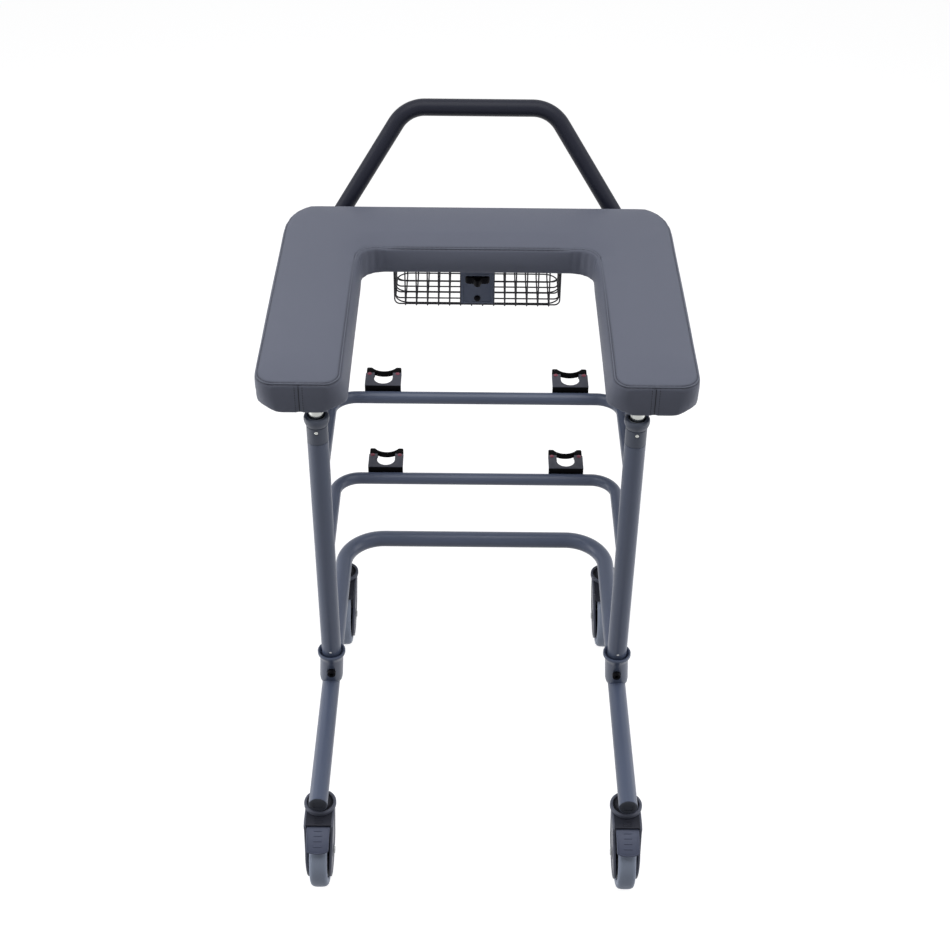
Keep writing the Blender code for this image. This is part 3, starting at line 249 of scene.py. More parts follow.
def finish(name, colour, roughness, metallic=0.0, drift=0.10, drift_scale=14.0, gloss=0.08, grain=None,
           relief=0.1, depth=0.0003, texture=None, specular=0.25):
    """A material with drifting colour and gloss, and the bump of a grain group at its own scale."""
    material = bpy.data.materials.new(name)
    material.use_nodes = True
    tree = material.node_tree
    shader = tree.nodes["Principled BSDF"]
    place = add_node(tree, "ShaderNodeTexCoord").outputs["Object"]
    group = add_node(tree, "ShaderNodeGroup", node_tree=SHADE_DRIFT)
    group.inputs["Colour"].default_value = (*colour, 1)
    group.inputs["Scale"].default_value = drift_scale
    group.inputs["Spread"].default_value = drift
    tree.links.new(place, group.inputs["Vector"])
    tree.links.new(group.outputs["Colour"], shader.inputs["Base Color"])
    group = add_node(tree, "ShaderNodeGroup", node_tree=GLOSS_DRIFT)
    group.inputs["Roughness"].default_value = roughness
    group.inputs["Spread"].default_value = gloss
    tree.links.new(place, group.inputs["Vector"])
    tree.links.new(group.outputs["Roughness"], shader.inputs["Roughness"])
    if grain:
        group = add_node(tree, "ShaderNodeGroup", node_tree=texture or FINE_GRAIN)
        group.inputs["Scale"].default_value = grain
        tree.links.new(place, group.inputs["Vector"])
        bump = add_node(tree, "ShaderNodeBump", {"Strength": relief, "Distance": depth})
        tree.links.new(group.outputs["Height"], bump.inputs["Height"])
        tree.links.new(bump.outputs["Normal"], shader.inputs["Normal"])
    shader.inputs["Metallic"].default_value = metallic
    shader.inputs["Specular IOR Level"].default_value = specular
    return material


def seam_shaded(material, share):
    """Darkens a cloth's colour where its own attribute says that it is drawn in at a seam: painted shade in
    the fold there.
    """
    tree = material.node_tree
    shader = tree.nodes["Principled BSDF"]
    colour = shader.inputs["Base Color"].links[0].from_socket
    seam_shade = add_node(tree, "ShaderNodeAttribute", attribute_name="seam_shade")
    wires = {0: seam_shade.outputs["Fac"], 1: -share, 2: 1.0}
    light = add_node(tree, "ShaderNodeMath", wires, operation="MULTIPLY_ADD")
    scaled = add_node(tree, "ShaderNodeVectorMath", {0: colour}, operation="SCALE")
    tree.links.new(light.outputs[0], scaled.inputs["Scale"])
    tree.links.new(scaled.outputs[0], shader.inputs["Base Color"])


def wood_finish(name):
    """Birch plywood: pale flat grain that runs across the walker."""
    material = finish(name, (0.45, 0.32, 0.19), 0.7, grain=500, relief=0.15)
    tree = material.node_tree
    place = tree.nodes["Texture Coordinate"].outputs["Object"]
    stretched = add_node(tree, "ShaderNodeMapping", {"Vector": place, "Scale": (3, 40, 40)})
    wires = {"Vector": stretched.outputs[0], "Scale": 1.6, "Detail": 6.0, "Distortion": 0.8}
    grain = add_node(tree, "ShaderNodeTexNoise", wires)
    ramp = add_node(tree, "ShaderNodeValToRGB", {"Fac": grain.outputs["Fac"]})
    ramp.color_ramp.elements[0].position = 0.35
    ramp.color_ramp.elements[0].color = (0.30, 0.19, 0.10, 1)
    ramp.color_ramp.elements[1].position = 0.65
    ramp.color_ramp.elements[1].color = (0.50, 0.36, 0.22, 1)
    tree.links.new(ramp.outputs["Color"], tree.nodes["Principled BSDF"].inputs["Base Color"])
    return material


FRAME_COAT = finish("frame_powder_coat", (0.097, 0.121, 0.190), 0.34, grain=1400, relief=0.08, specular=0.4)
HANDLE_COAT = finish("handle_powder_coat", (0.015, 0.017, 0.030), 0.42, grain=1400, relief=0.10, specular=0.2)
WIRE_COAT = finish("wire_coat", (0.018, 0.017, 0.026), 0.45, grain=1800, relief=0.08)
CHROME = finish("chrome_plate", (0.45, 0.46, 0.44), 0.16, metallic=1.0, drift=0.04, gloss=0.10)
ZINC = finish("zinc_plate", (0.40, 0.41, 0.42), 0.34, metallic=1.0, gloss=0.15, grain=900, relief=0.05)
BLACK_MOULDING = finish("black_moulding", (0.004, 0.004, 0.006), 0.52, grain=1600, relief=0.16, specular=0.06)
DARK_NYLON = finish("dark_nylon", (0.024, 0.026, 0.038), 0.50, grain=1500, relief=0.14, specular=0.2)
DARK_STEEL = finish("dark_steel", (0.030, 0.031, 0.038), 0.42, metallic=0.8, gloss=0.12, grain=900,
                    relief=0.06)
PLUG_MOULDING = finish("plug_moulding", (0.040, 0.045, 0.060), 0.50, grain=1500, relief=0.14, specular=0.2)
FORK_MOULDING = finish("fork_moulding", (0.115, 0.124, 0.165), 0.46, grain=1300, relief=0.14, specular=0.3)
PEDAL_MOULDING = finish("pedal_moulding", (0.094, 0.108, 0.165), 0.48, grain=1300, relief=0.16)
CLIP_MOULDING = finish("clip_moulding", (0.084, 0.088, 0.114), 0.50, grain=1500, relief=0.14)
GREY_MOULDING = finish("grey_moulding", (0.075, 0.085, 0.110), 0.45, grain=1500, relief=0.14)
COLLAR_MOULDING = finish("collar_moulding", (0.092, 0.108, 0.150), 0.40, grain=1600, relief=0.10,
                         specular=0.35)
GRIP_RUBBER = finish("grip_rubber", (0.005, 0.005, 0.006), 0.75, grain=1200, relief=0.22, specular=0.06)
TREAD_RUBBER = finish("tread_rubber", (0.340, 0.390, 0.500), 0.55, grain=900, relief=0.12)
HUB_MOULDING = finish("hub_moulding", (0.026, 0.029, 0.040), 0.45, grain=1500, relief=0.12)
RED_PIN = finish("red_pin", (0.300, 0.080, 0.115), 0.45)
VINYL = finish("vinyl", (0.164, 0.177, 0.228), 0.48, drift=0.05, drift_scale=5, gloss=0.06,
               grain=620, relief=0.22, depth=0.0004, texture=HIDE_GRAIN, specular=0.1)
WELT = finish("welt_vinyl", (0.150, 0.163, 0.210), 0.44, drift=0.05, gloss=0.06, grain=900, relief=0.12,
              texture=HIDE_GRAIN, specular=0.2)
THREAD = finish("seam_thread", (0.020, 0.023, 0.030), 0.70, grain=3000, relief=0.2)
PLYWOOD = wood_finish("plywood")
# The vinyl darkens along its seams: painted shade
seam_shaded(VINYL, 0.85)


# Modelling helpers


def new_object(name, mesh):
    item = bpy.data.objects.new(name, mesh)
    bpy.context.scene.collection.objects.link(item)
    return item


def plain_mesh(item):
    """The evaluated shape as one plain mesh with its place in it. The object is removed."""
    bpy.context.view_layer.update()
    graph = bpy.context.evaluated_depsgraph_get()
    mesh = bpy.data.meshes.new_from_object(item.evaluated_get(graph))
    mesh.transform(item.matrix_world)
    bpy.data.objects.remove(item, do_unlink=True)
    return mesh


def tidy_mesh(mesh, sharp=35):
    """Merges doubles, turns all faces outwards and smooths all but the sharp edges."""
    shape = bmesh.new()
    shape.from_mesh(mesh)
    bmesh.ops.remove_doubles(shape, verts=shape.verts, dist=0.000002)
    bmesh.ops.recalc_face_normals(shape, faces=shape.faces)
    shape.to_mesh(mesh)
    shape.free()
    mesh.shade_smooth()
    mesh.set_sharp_from_angle(angle=radians(sharp))
    return mesh


def merged(*meshes):
    """One mesh of several, whose closed shapes may pass through each other."""
    shape = bmesh.new()
    for mesh in meshes:
        shape.from_mesh(mesh)
    result = meshes[0]
    shape.to_mesh(result)
    shape.free()
    return tidy_mesh(result)


def moved(mesh, place=(0, 0, 0), turn=None):
    """A copy of a mesh, turned and then moved."""
    copy = mesh.copy()
    copy.transform(Matrix.Translation(place) @ (turn.to_4x4() if turn else Matrix.Identity(4)))
    return copy


def piece(name, mesh, body, material=None, replaces=()):
    """A finished piece that rides on a body, and the CAD nodes that it stands for."""
    if material:
        mesh.materials.clear()
        mesh.materials.append(material)
    item = new_object(name, mesh)
    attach(item, body)
    if replaces:
        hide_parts(*replaces)
    return item


def arc(centre, radius, start, end, steps):
    """Points on an arc about a 2D centre, both ends included."""
    angles = [start + (end - start) * step / steps for step in range(steps + 1)]
    return [(centre[0] + radius * cos(a), centre[1] + radius * sin(a)) for a in angles]


def eased(points, radius, steps=3, closed=True):
    """A 2D outline with its corners rounded, by a radius for all or one for each point."""
    count = len(points)
    radii = radius if isinstance(radius, (list, tuple)) else [radius] * count
    result = []
    for i, (point, size) in enumerate(zip(points, radii)):
        if size <= 0 or (not closed and i in (0, count - 1)):
            result.append(tuple(point))
            continue
        corner = Vector(point)
        back = Vector(points[i - 1]) - corner
        ahead = Vector(points[(i + 1) % count]) - corner
        opening = back.angle(ahead, pi)
        if opening > pi - 0.02:
            result.append(tuple(point))
            continue
        reach = min(size / tan(opening / 2), back.length * 0.49, ahead.length * 0.49)
        first, last = corner + back.normalized() * reach, corner + ahead.normalized() * reach
        for step in range(steps + 1):
            t = step / steps
            result.append(tuple((1 - t) ** 2 * first + 2 * t * (1 - t) * corner + t * t * last))
    return result


def turned(name, profile, axis="Z", segments=64, closed=False, sharp=35):
    """A profile of (radius, height) points turned about Z, then laid along +X or -Y if asked."""
    shape = bmesh.new()
    verts = [shape.verts.new((radius, 0, height)) for radius, height in profile]
    edges = [shape.edges.new(pair) for pair in zip(verts, verts[1:])]
    if closed:
        edges.append(shape.edges.new((verts[-1], verts[0])))
    bmesh.ops.spin(
        shape,
        geom=verts + edges,
        cent=(0, 0, 0),
        axis=(0, 0, 1),
        angle=2 * pi,
        steps=segments,
        use_duplicate=False,
    )
    bmesh.ops.remove_doubles(shape, verts=shape.verts, dist=0.000002)
    mesh = bpy.data.meshes.new(name)
    shape.to_mesh(mesh)
    shape.free()
    turns = {"X": Matrix.Rotation(pi / 2, 3, "Y"), "Y": Matrix.Rotation(pi / 2, 3, "X")}
    if axis in turns:
        mesh.transform(turns[axis].to_4x4())
    return tidy_mesh(mesh, sharp)


def rod(name, radius, low, high, axis="Z", segments=48):
    """A plain round rod about an axis. As a tool it cuts a hole."""
    return turned(name, [(0, high), (radius, high), (radius, low), (0, low)], axis, segments)


def circle(radius, count, centre=(0, 0)):
    """The points of a closed circle."""
    return arc(centre, radius, 0, 2 * pi * (count - 1) / count, count - 1)


def oblong(across, up, radius=0.0, steps=3):
    """A rectangle between two spans, each a pair of low and high, with its corners rounded."""
    (left, right), (low, high) = across, up
    return eased([(left, low), (right, low), (right, high), (left, high)], radius, steps)


def ring_shape(name, rings):
    """A closed shape through rings of as many points each, from its underside to its top."""
    shape = bmesh.new()
    loops = [[shape.verts.new(point) for point in ring] for ring in rings]
    for lower, upper in zip(loops, loops[1:]):
        for i in range(len(lower)):
            j = (i + 1) % len(lower)
            shape.faces.new((lower[i], lower[j], upper[j], upper[i]))
    shape.faces.new(reversed(loops[0]))
    shape.faces.new(loops[-1])
    shape.normal_update()
    bmesh.ops.triangulate(shape, faces=[face for face in shape.faces if len(face.verts) > 4])
    mesh = bpy.data.meshes.new(name)
    shape.to_mesh(mesh)
    shape.free()
    return mesh


# Planes for a slab. SIDEWAYS takes an outline in (y, z) and raises it towards +X, the two that face along Y
# take one in (x, z), and SPOKE_PLANE takes one in (y, x) and raises it towards +Z.
SIDEWAYS = Matrix(((0, 0, 1), (1, 0, 0), (0, 1, 0)))
FACING_AHEAD = Matrix(((1, 0, 0), (0, 0, 1), (0, 1, 0)))
FACING_BACK = Matrix(((1, 0, 0), (0, 0, -1), (0, 1, 0)))
SPOKE_PLANE = Matrix(((0, 1, 0), (1, 0, 0), (0, 0, 1)))


def slab(name, outline, low, high, plane=None, edge=0.0, edge_steps=2):
    """A flat outline raised from low to high, with its rims rounded, on a plane of its own."""
    shape = bmesh.new()
    face = shape.faces.new([shape.verts.new((x, y, low)) for x, y in outline])
    raised = bmesh.ops.extrude_face_region(shape, geom=[face])
    moved_verts = [part for part in raised["geom"] if isinstance(part, bmesh.types.BMVert)]
    bmesh.ops.translate(shape, verts=moved_verts, vec=(0, 0, high - low))
    bmesh.ops.recalc_face_normals(shape, faces=shape.faces)
    if edge:
        rims = [e for e in shape.edges if e.calc_face_angle(0) > radians(60) and
                abs(e.verts[0].co.z - e.verts[1].co.z) < 1e-7]
        bmesh.ops.bevel(shape, geom=rims, offset=edge, segments=edge_steps, profile=0.5, affect="EDGES",
                        clamp_overlap=True)
    mesh = bpy.data.meshes.new(name)
    shape.to_mesh(mesh)
    shape.free()
    if plane:
        mesh.transform(plane.to_4x4())
    return tidy_mesh(mesh)


def cut_out(mesh, *tools):
    """A mesh with the tool meshes cut away from it."""
    item = new_object("blank", mesh)
    cutters = [new_object("cutter", tool) for tool in tools]
    for cutter in cutters:
        boolean = item.modifiers.new("cut", "BOOLEAN")
        boolean.object = cutter
        boolean.solver = "EXACT"
    result = plain_mesh(item)
    for cutter in cutters:
        bpy.data.objects.remove(cutter, do_unlink=True)
    return tidy_mesh(result)


def eased_edges(mesh, width, segments=2, angle=40):
    """A mesh with its sharp edges rounded."""
    item = new_object("blank", mesh)
    bevel = item.modifiers.new("edges", "BEVEL")
    bevel.width = width
    bevel.segments = segments
    bevel.limit_method = "ANGLE"
    bevel.angle_limit = radians(angle)
    bevel.use_clamp_overlap = True
    return tidy_mesh(plain_mesh(item), 40)


def lines_mesh(name, runs, closed=False):
    """A mesh of edges only: one run of joined points for each list."""
    mesh = bpy.data.meshes.new(name)
    points, edges = [], []
    for run in runs:
        start = len(points)
        points += [tuple(point) for point in run]
        edges += [(start + i, start + i + 1) for i in range(len(run) - 1)]
        if closed:
            edges.append((len(points) - 1, start))
    mesh.from_pydata(points, edges, [])
    return mesh


def bent_path(corners, radii, steps):
    """A path through corner points, with each inner corner rounded by its own radius."""
    points = [Vector(corners[0])]
    for before, corner, after, radius in zip(corners, corners[1:], corners[2:], radii):
        corner = Vector(corner)
        back = (Vector(before) - corner).normalized()
        ahead = (Vector(after) - corner).normalized()
        half = back.angle(ahead) / 2
        centre = corner + (back + ahead).normalized() * radius / sin(half)
        first = corner + back * radius / tan(half) - centre
        axis = first.cross(corner + ahead * radius / tan(half) - centre).normalized()
        for step in range(steps + 1):
            angle = (pi - 2 * half) * step / steps
            points.append(centre + Matrix.Rotation(angle, 3, axis) @ first)
    points.append(Vector(corners[-1]))
    return points


# Geometry Nodes


def tube_tree():
    """A round tube, wire or cord along every run of edges."""
    inputs = [("Radius", "NodeSocketFloat", 0.01), ("Sides", "NodeSocketInt", 24)]
    tree, enter, leave = geometry_group("tube_along_path", inputs)
    path = add_node(tree, "GeometryNodeMeshToCurve", {"Mesh": enter.outputs["Geometry"]})
    wires = {"Resolution": enter.outputs["Sides"], "Radius": enter.outputs["Radius"]}
    ring = add_node(tree, "GeometryNodeCurvePrimitiveCircle", wires)
    wires = {"Curve": path.outputs[0], "Profile Curve": ring.outputs[0], "Fill Caps": True}
    tube = add_node(tree, "GeometryNodeCurveToMesh", wires)
    return end_geometry(tree, enter, leave, tube.outputs[0])


def copies_tree():
    """A copy of one original at every point, turned by the point's own "turn" angles."""
    inputs = [("Original", "NodeSocketObject", None)]
    tree, enter, leave = geometry_group("copies_at_points", inputs)
    original = add_node(tree, "GeometryNodeObjectInfo", {"Object": enter.outputs["Original"]})
    turn = add_node(tree, "GeometryNodeInputNamedAttribute", {"Name": "turn"}, data_type="FLOAT_VECTOR")
    wires = {
        "Points": enter.outputs["Geometry"],
        "Instance": original.outputs["Geometry"],
        "Rotation": turn.outputs["Attribute"],
    }
    copies = add_node(tree, "GeometryNodeInstanceOnPoints", wires)
    return end_geometry(tree, enter, leave, copies.outputs[0])


def stitches_tree():
    """Short stitches laid end to end along every run of edges, with a small space between them."""
    inputs = [
        ("Pitch", "NodeSocketFloat", 0.004),
        ("Length", "NodeSocketFloat", 0.003),
        ("Radius", "NodeSocketFloat", 0.0004),
    ]
    tree, enter, leave = geometry_group("stitches_along_path", inputs)
    path = add_node(tree, "GeometryNodeMeshToCurve", {"Mesh": enter.outputs["Geometry"]})
    wires = {"Curve": path.outputs[0], "Length": enter.outputs["Pitch"]}
    even = add_node(tree, "GeometryNodeResampleCurve", wires, mode="LENGTH")
    tangent = add_node(tree, "GeometryNodeInputTangent")
    aligned = add_node(tree, "FunctionNodeAlignRotationToVector", {"Vector": tangent.outputs[0]}, axis="Z")
    wires = {"Segments": 8, "Rings": 6, "Radius": 1.0}
    bead = add_node(tree, "GeometryNodeMeshUVSphere", wires)
    half = add_node(tree, "ShaderNodeMath", {0: enter.outputs["Length"], 1: 0.5}, operation="MULTIPLY")
    wires = {"X": enter.outputs["Radius"], "Y": enter.outputs["Radius"], "Z": half.outputs[0]}
    size = add_node(tree, "ShaderNodeCombineXYZ", wires)
    wires = {
        "Points": even.outputs[0],
        "Instance": bead.outputs["Mesh"],
        "Rotation": aligned.outputs[0],
        "Scale": size.outputs[0],
    }
    copies = add_node(tree, "GeometryNodeInstanceOnPoints", wires)
    return end_geometry(tree, enter, leave, copies.outputs[0])


TUBE = tube_tree()
COPIES = copies_tree()
STITCHES = stitches_tree()


def grown(name, tree, mesh, material, sharp=35, **values):
    """The plain mesh that a tree makes from a mesh, with the tree's inputs set by their names."""
    item = new_object(name, mesh)
    modifier = item.modifiers.new("grow", "NODES")
    modifier.node_group = tree
    keys = {i.name: i.identifier for i in tree.interface.items_tree if i.in_out == "INPUT"}
    modifier[keys["Finish"]] = material
    for label, value in values.items():
        modifier[keys[label]] = value
    result = plain_mesh(item)
    result.name = name
    result.shade_smooth()
    result.set_sharp_from_angle(angle=radians(sharp))
    return result


def tube(name, path, outer, material, sides=48):
    return grown(name, TUBE, lines_mesh(name, [path]), material, Radius=outer / 2, Sides=sides)


def copies(name, original, places, material, turns=None):
    """One mesh with a copy of the original mesh at each place."""
    points = bpy.data.meshes.new(name)
    points.from_pydata([tuple(place) for place in places], [], [])
    turn = points.attributes.new("turn", "FLOAT_VECTOR", "POINT")
    for item, angles in zip(turn.data, turns or [(0, 0, 0)] * len(places)):
        item.vector = angles
    source = new_object("original", original)
    result = grown(name, COPIES, points, material, Original=source)
    bpy.data.objects.remove(source, do_unlink=True)
    return result


# The base, its plugs and the posts' sockets

PLUG_FACE = 0.0148
PLUG_SHANK = 0.0134
PLUG_RECESS = 0.0085


def weld_bead(name, main_radius, branch_radius, place, along, width=0.0022, count=56):
    """The bead of weld where a level tube meets an upright one."""
    run = []
    for step in range(count):
        angle = 2 * pi * step / count
        side = branch_radius * cos(angle)
        height = branch_radius * sin(angle)
        reach = sqrt(main_radius**2 - side**2)
        ripple = 1 + 0.012 * sin(angle * 23)
        run.append((place[0] + side * ripple, place[1] + along * reach, place[2] + height * ripple))
    mesh = lines_mesh(name, [run], closed=True)
    return grown(name, TUBE, mesh, FRAME_COAT, Radius=width / 2, Sides=10)


def make_base():
    side = HALF_TRACK
    corners = [
        (-side, BASE_NEAR_Y, BASE_Z),
        (-side, BASE_FAR_Y, BASE_Z),
        (side, BASE_FAR_Y, BASE_Z),
        (side, BASE_NEAR_Y, BASE_Z),
    ]
    path = bent_path(corners, [BASE_BEND] * 2, 20)
    piece("base_tube_skin", tube("base_tube_skin", path, BASE_OD, FRAME_COAT, 56), "frame",
          replaces=["base_tube"])
    for name, sign in SIDES.items():
        place = (sign * side, BASE_NEAR_Y, BASE_Z)
        mesh = moved(tube_plug(), place)
        piece(f"base_end_{name}", mesh, "frame", PLUG_MOULDING, [f"base_plug_{name}"])


def tube_plug():
    """A plug for a tube end that faces -Y: a low cap with a square recess in its middle."""
    profile = [
        (0, 0.0014),
        (PLUG_FACE - 0.0018, 0.0014),
        (PLUG_FACE - 0.0004, 0.0010),
        (PLUG_FACE, 0.0003),
        (PLUG_FACE, 0.0),
        (PLUG_SHANK, 0.0),
        (PLUG_SHANK, -0.014),
        (0, -0.014),
    ]
    plug = turned("plug", profile, "Y", 56)
    wide, high = PLUG_RECESS, PLUG_RECESS * 0.8
    recess = oblong((-wide, wide), (-high, high), 0.0035, 5)
    return cut_out(plug, slab("recess", recess, 0.0002, 0.01, FACING_BACK))


SOCKET_BORE = POST_OD / 2 + 0.0003
SOCKET_BODY = SOCKET_BORE + 0.0032
SOCKET_LIP = 0.025


def socket_mesh():
    """A post's socket: a closed foot, a straight body and a flared mouth with a round lip."""
    bore, body, lip = SOCKET_BORE, SOCKET_BODY, SOCKET_LIP
    return turned("socket", [
        (0, POST_BOTTOM - 0.0005),
        (bore, POST_BOTTOM - 0.0005),
        (bore, SOCKET_TOP - 0.0065),
        (lip - 0.0034, SOCKET_TOP - 0.0006),
        (lip - 0.0028, SOCKET_TOP),
        (lip - 0.0008, SOCKET_TOP),
        (lip, SOCKET_TOP - 0.0010),
        (lip, SOCKET_TOP - 0.0052),
        (lip - 0.0006, SOCKET_TOP - 0.0062),
        (body + 0.0006, SOCKET_TOP - 0.0135),
        (body, SOCKET_TOP - 0.0155),
        (body, BASE_Z + 0.014),
        (body - 0.0010, BASE_Z + 0.0065),
        (0, BASE_Z + 0.0065),
    ], segments=72)


def make_sockets():
    socket = socket_mesh()
    tube_room = moved(rod("room", BASE_OD / 2 + 0.0003, -0.1, 0.1, "Y", 72), (0, 0, BASE_Z))
    seat = moved(rod("seat", 0.0086, SOCKET_BODY - 0.0014, 0.1, "Y"), (0, 0, BOLT_Z))
    bolt = socket_bolt()
    for name, sign in SIDES.items():
        offset = sign * (HALF_TRACK - POST_HALF_TRACK)
        cup = cut_out(leaning(socket, offset), moved(tube_room, (offset, 0, 0)), seat)
        cup = moved(eased_edges(cup, 0.0005, 2, 45), (sign * POST_HALF_TRACK, POST_Y, 0))
        piece(f"socket_{name}", cup, "frame", FRAME_COAT, [f"post_socket_{name}"])
        screw = moved(bolt, (sign * POST_HALF_TRACK, POST_Y, BOLT_Z))
        piece(f"bolt_{name}", screw, "frame", BLACK_MOULDING, [f"socket_bolt_{name}"])


def leaning(socket, offset):
    """A socket whose outside is over the base tube at its foot and about the post at its mouth."""
    cup = socket.copy()
    mouth = SOCKET_TOP - 0.0135
    for vertex in cup.vertices:
        reach = sqrt(vertex.co.x**2 + vertex.co.y**2)
        if reach > POST_OD / 2 + 0.001 and vertex.co.z < mouth:
            vertex.co.x += offset * (mouth - vertex.co.z) / (mouth - BASE_Z)
    return cup


def socket_bolt():
    """A cap screw with a hexagon socket, its head towards -Y."""
    head = 0.0074
    seat = 0.0199
    end = seat + 0.0075
    tip = -0.0205
    profile = [
        (0, end),
        (head - 0.0010, end),
        (head - 0.0003, end - 0.0003),
        (head, end - 0.0010),
        (head, seat),
        (BOLT_RADIUS, seat),
        (BOLT_RADIUS, tip),
        (0, tip),
    ]
    bolt = turned("bolt", profile, "Y", 72)
    return cut_out(bolt, rod("hexagon", 0.0035, end - 0.004, end + 0.01, "Y", 6))


# Posts, collars, inner tubes

BUTTON_Z = 0.2543
COLLAR_WIDE = 0.0208
COLLAR_SLEEVE = 0.032
COLLAR_SEAT = POST_TOP + 0.0003
SPIGOT = 0.065
SCREW_HOLE = 0.0042
SCREW_SEAT = 0.0129


def pipe(name, radius, wall, low, high):
    """An upright round tube with both ends open."""
    profile = [(radius, high), (radius, low), (radius - wall, low), (radius - wall, high)]
    return turned(name, profile, closed=True, segments=72)


def collar_mesh():
    """The collar: a spigot in the post, a sleeve with the screw's hole and a wider head."""
    radius, bore = POST_OD / 2, INNER_OD / 2 + 0.0003
    seat, wide = COLLAR_SEAT, COLLAR_WIDE
    cap = seat + COLLAR_SLEEVE
    collar = turned("collar", [
        (bore + 0.0019, COLLAR_TOP - 0.0004),
        (bore + 0.0025, COLLAR_TOP),
        (wide - 0.0038, COLLAR_TOP),
        (wide - 0.0018, COLLAR_TOP - 0.0005),
        (wide - 0.0005, COLLAR_TOP - 0.0018),
        (wide, COLLAR_TOP - 0.0038),
        (wide, cap + 0.0100),
        (wide - 0.0004, cap + 0.0076),
        (radius + 0.0008, cap + 0.0016),
        (radius + 0.0003, cap + 0.0008),
        (radius - 0.0010, cap + 0.0004),
        (radius - 0.0010, cap - 0.0004),
        (radius, cap - 0.0010),
        (radius, seat + 0.0006),
        (radius - 0.0005, seat),
        (radius - 0.0024, seat),
        (radius - 0.0024, seat - SPIGOT),
        (bore, seat - SPIGOT),
        (bore, COLLAR_TOP - 0.0062),
        (bore + 0.0012, COLLAR_TOP - 0.0050),
    ], closed=True, segments=72)
    return cut_out(collar, moved(rod("hole", SCREW_HOLE, 0.0165, 0.03, "Y", 40), (0, 0, SCREW_Z)))


def clamp_screw_mesh():
    face = POST_OD / 2 - 0.0002
    return turned("screw", [
        (0, face + 0.0009),
        (0.0016, face + 0.0007),
        (0.0028, face + 0.0001),
        (0.0034, face - 0.0009),
        (0.0034, SCREW_SEAT),
        (0, SCREW_SEAT),
    ], "Y", 40)


def button_mesh():
    """The small round button on a post, above its socket."""
    face = POST_OD / 2
    return turned("button", [
        (0, face + 0.0011),
        (0.0014, face + 0.0009),
        (0.0022, face + 0.0002),
        (0.0024, face - 0.0010),
        (0, face - 0.0010),
    ], "Y", 32)


def make_posts():
    collar = collar_mesh()
    screw = clamp_screw_mesh()
    button = button_mesh()
    post = pipe("post", POST_OD / 2, 0.002, POST_BOTTOM, POST_TOP)
    inner = pipe("inner", INNER_OD / 2, 0.0015, INNER_BOTTOM, PLATE_BOTTOM - 0.0003)
    for name, sign in SIDES.items():
        x = sign * POST_HALF_TRACK
        place = (x, POST_Y, 0)
        piece(f"post_skin_{name}", moved(post, place), "frame", FRAME_COAT, [f"post_{name}"])
        piece(f"collar_{name}", moved(collar, place), "frame", COLLAR_MOULDING, [f"post_collar_{name}"])
        piece(f"screw_{name}", moved(screw, (x, POST_Y, SCREW_Z)), "frame", CHROME, [f"clamp_screw_{name}"])
        piece(f"post_button_{name}", moved(button, (x, POST_Y, BUTTON_Z)), "frame", ZINC)
        piece(f"inner_{name}", moved(inner, place), "armrest", CHROME, [f"inner_tube_{name}"])
        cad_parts[f"guide_bush_{name}"].data.materials[0] = BLACK_MOULDING


# Rails and the holders on them


def make_rails():
    side = POST_HALF_TRACK
    reach = sqrt((POST_OD / 2) ** 2 - (RAIL_OD / 2) ** 2)
    for level, height in RAIL_HEIGHTS.items():
        start = POST_Y + reach
        corners = [
            (-side, start, height),
            (-side, RAIL_FAR_Y, height),
            (side, RAIL_FAR_Y, height),
            (side, start, height),
        ]
        path = bent_path(corners, [RAIL_BEND] * 2, 16)
        piece(f"{level}_rail_skin", tube(f"{level}_rail_skin", path, RAIL_OD, FRAME_COAT, 48), "frame",
              replaces=[f"{level}_rail"])
        for name, sign in SIDES.items():
            place = (sign * side, POST_Y, height)
            bead = weld_bead("bead", POST_OD / 2, RAIL_OD / 2, place, 1)
            piece(f"{level}_rail_weld_{name}", bead, "frame")


CLIP_NEAR = RAIL_OD / 2 - 0.0018
CLIP_FAR = CLIP_NEAR + 0.0405
CLIP_HALF = 0.03225
CLIP_HOLE = 0.0165
CLIP_HOLE_Y = CLIP_NEAR + 0.0057 + CLIP_HOLE
CLIP_TOP = 0.020
CLIP_BOTTOM = -0.010
CLIP_PIN_X = 0.0253


def clip_body_mesh():
    """A holder's body: a thin plate with a D-shaped hole, and a thick foot that sits on the rail."""
    outline = [
        (CLIP_HALF, CLIP_NEAR),
        (CLIP_HALF, CLIP_FAR - 0.002),
        (CLIP_HALF - 0.002, CLIP_FAR),
        (CLIP_HOLE, CLIP_FAR),
        *arc((0, CLIP_HOLE_Y), CLIP_HOLE, 0, -pi, 28),
        (-CLIP_HOLE, CLIP_FAR),
        (0.002 - CLIP_HALF, CLIP_FAR),
        (-CLIP_HALF, CLIP_FAR - 0.002),
        (-CLIP_HALF, CLIP_NEAR),
    ]
    body = slab("body", outline, CLIP_BOTTOM, CLIP_TOP)
    room = rod("room", RAIL_OD / 2 + 0.0003, -0.1, 0.1, "X", 64)
    wide, low = (-0.05, 0.05), CLIP_BOTTOM - 0.01
    under = slab("under", oblong(wide, (CLIP_NEAR + 0.0060, 0.1)), low, CLIP_TOP - 0.0035)
    step = slab("step", oblong(wide, (CLIP_NEAR - 0.01, CLIP_NEAR + 0.0012)), low, CLIP_TOP - 0.0012)
    return eased_edges(cut_out(body, room, under, step), 0.0005, 2, 50)


def clip_rim_mesh():
    """The raised lip round the D-shaped hole on the plate's top."""
    radius, end = CLIP_HOLE + 0.0011, CLIP_FAR - 0.003
    rim = [(radius, end), *arc((0, CLIP_HOLE_Y), radius, 0, -pi, 32), (-radius, end)]
    path = [(x, y, CLIP_TOP - 0.0001) for x, y in rim]
    return grown("rim", TUBE, lines_mesh("rim", [path]), GREY_MOULDING, Radius=0.0005, Sides=8)


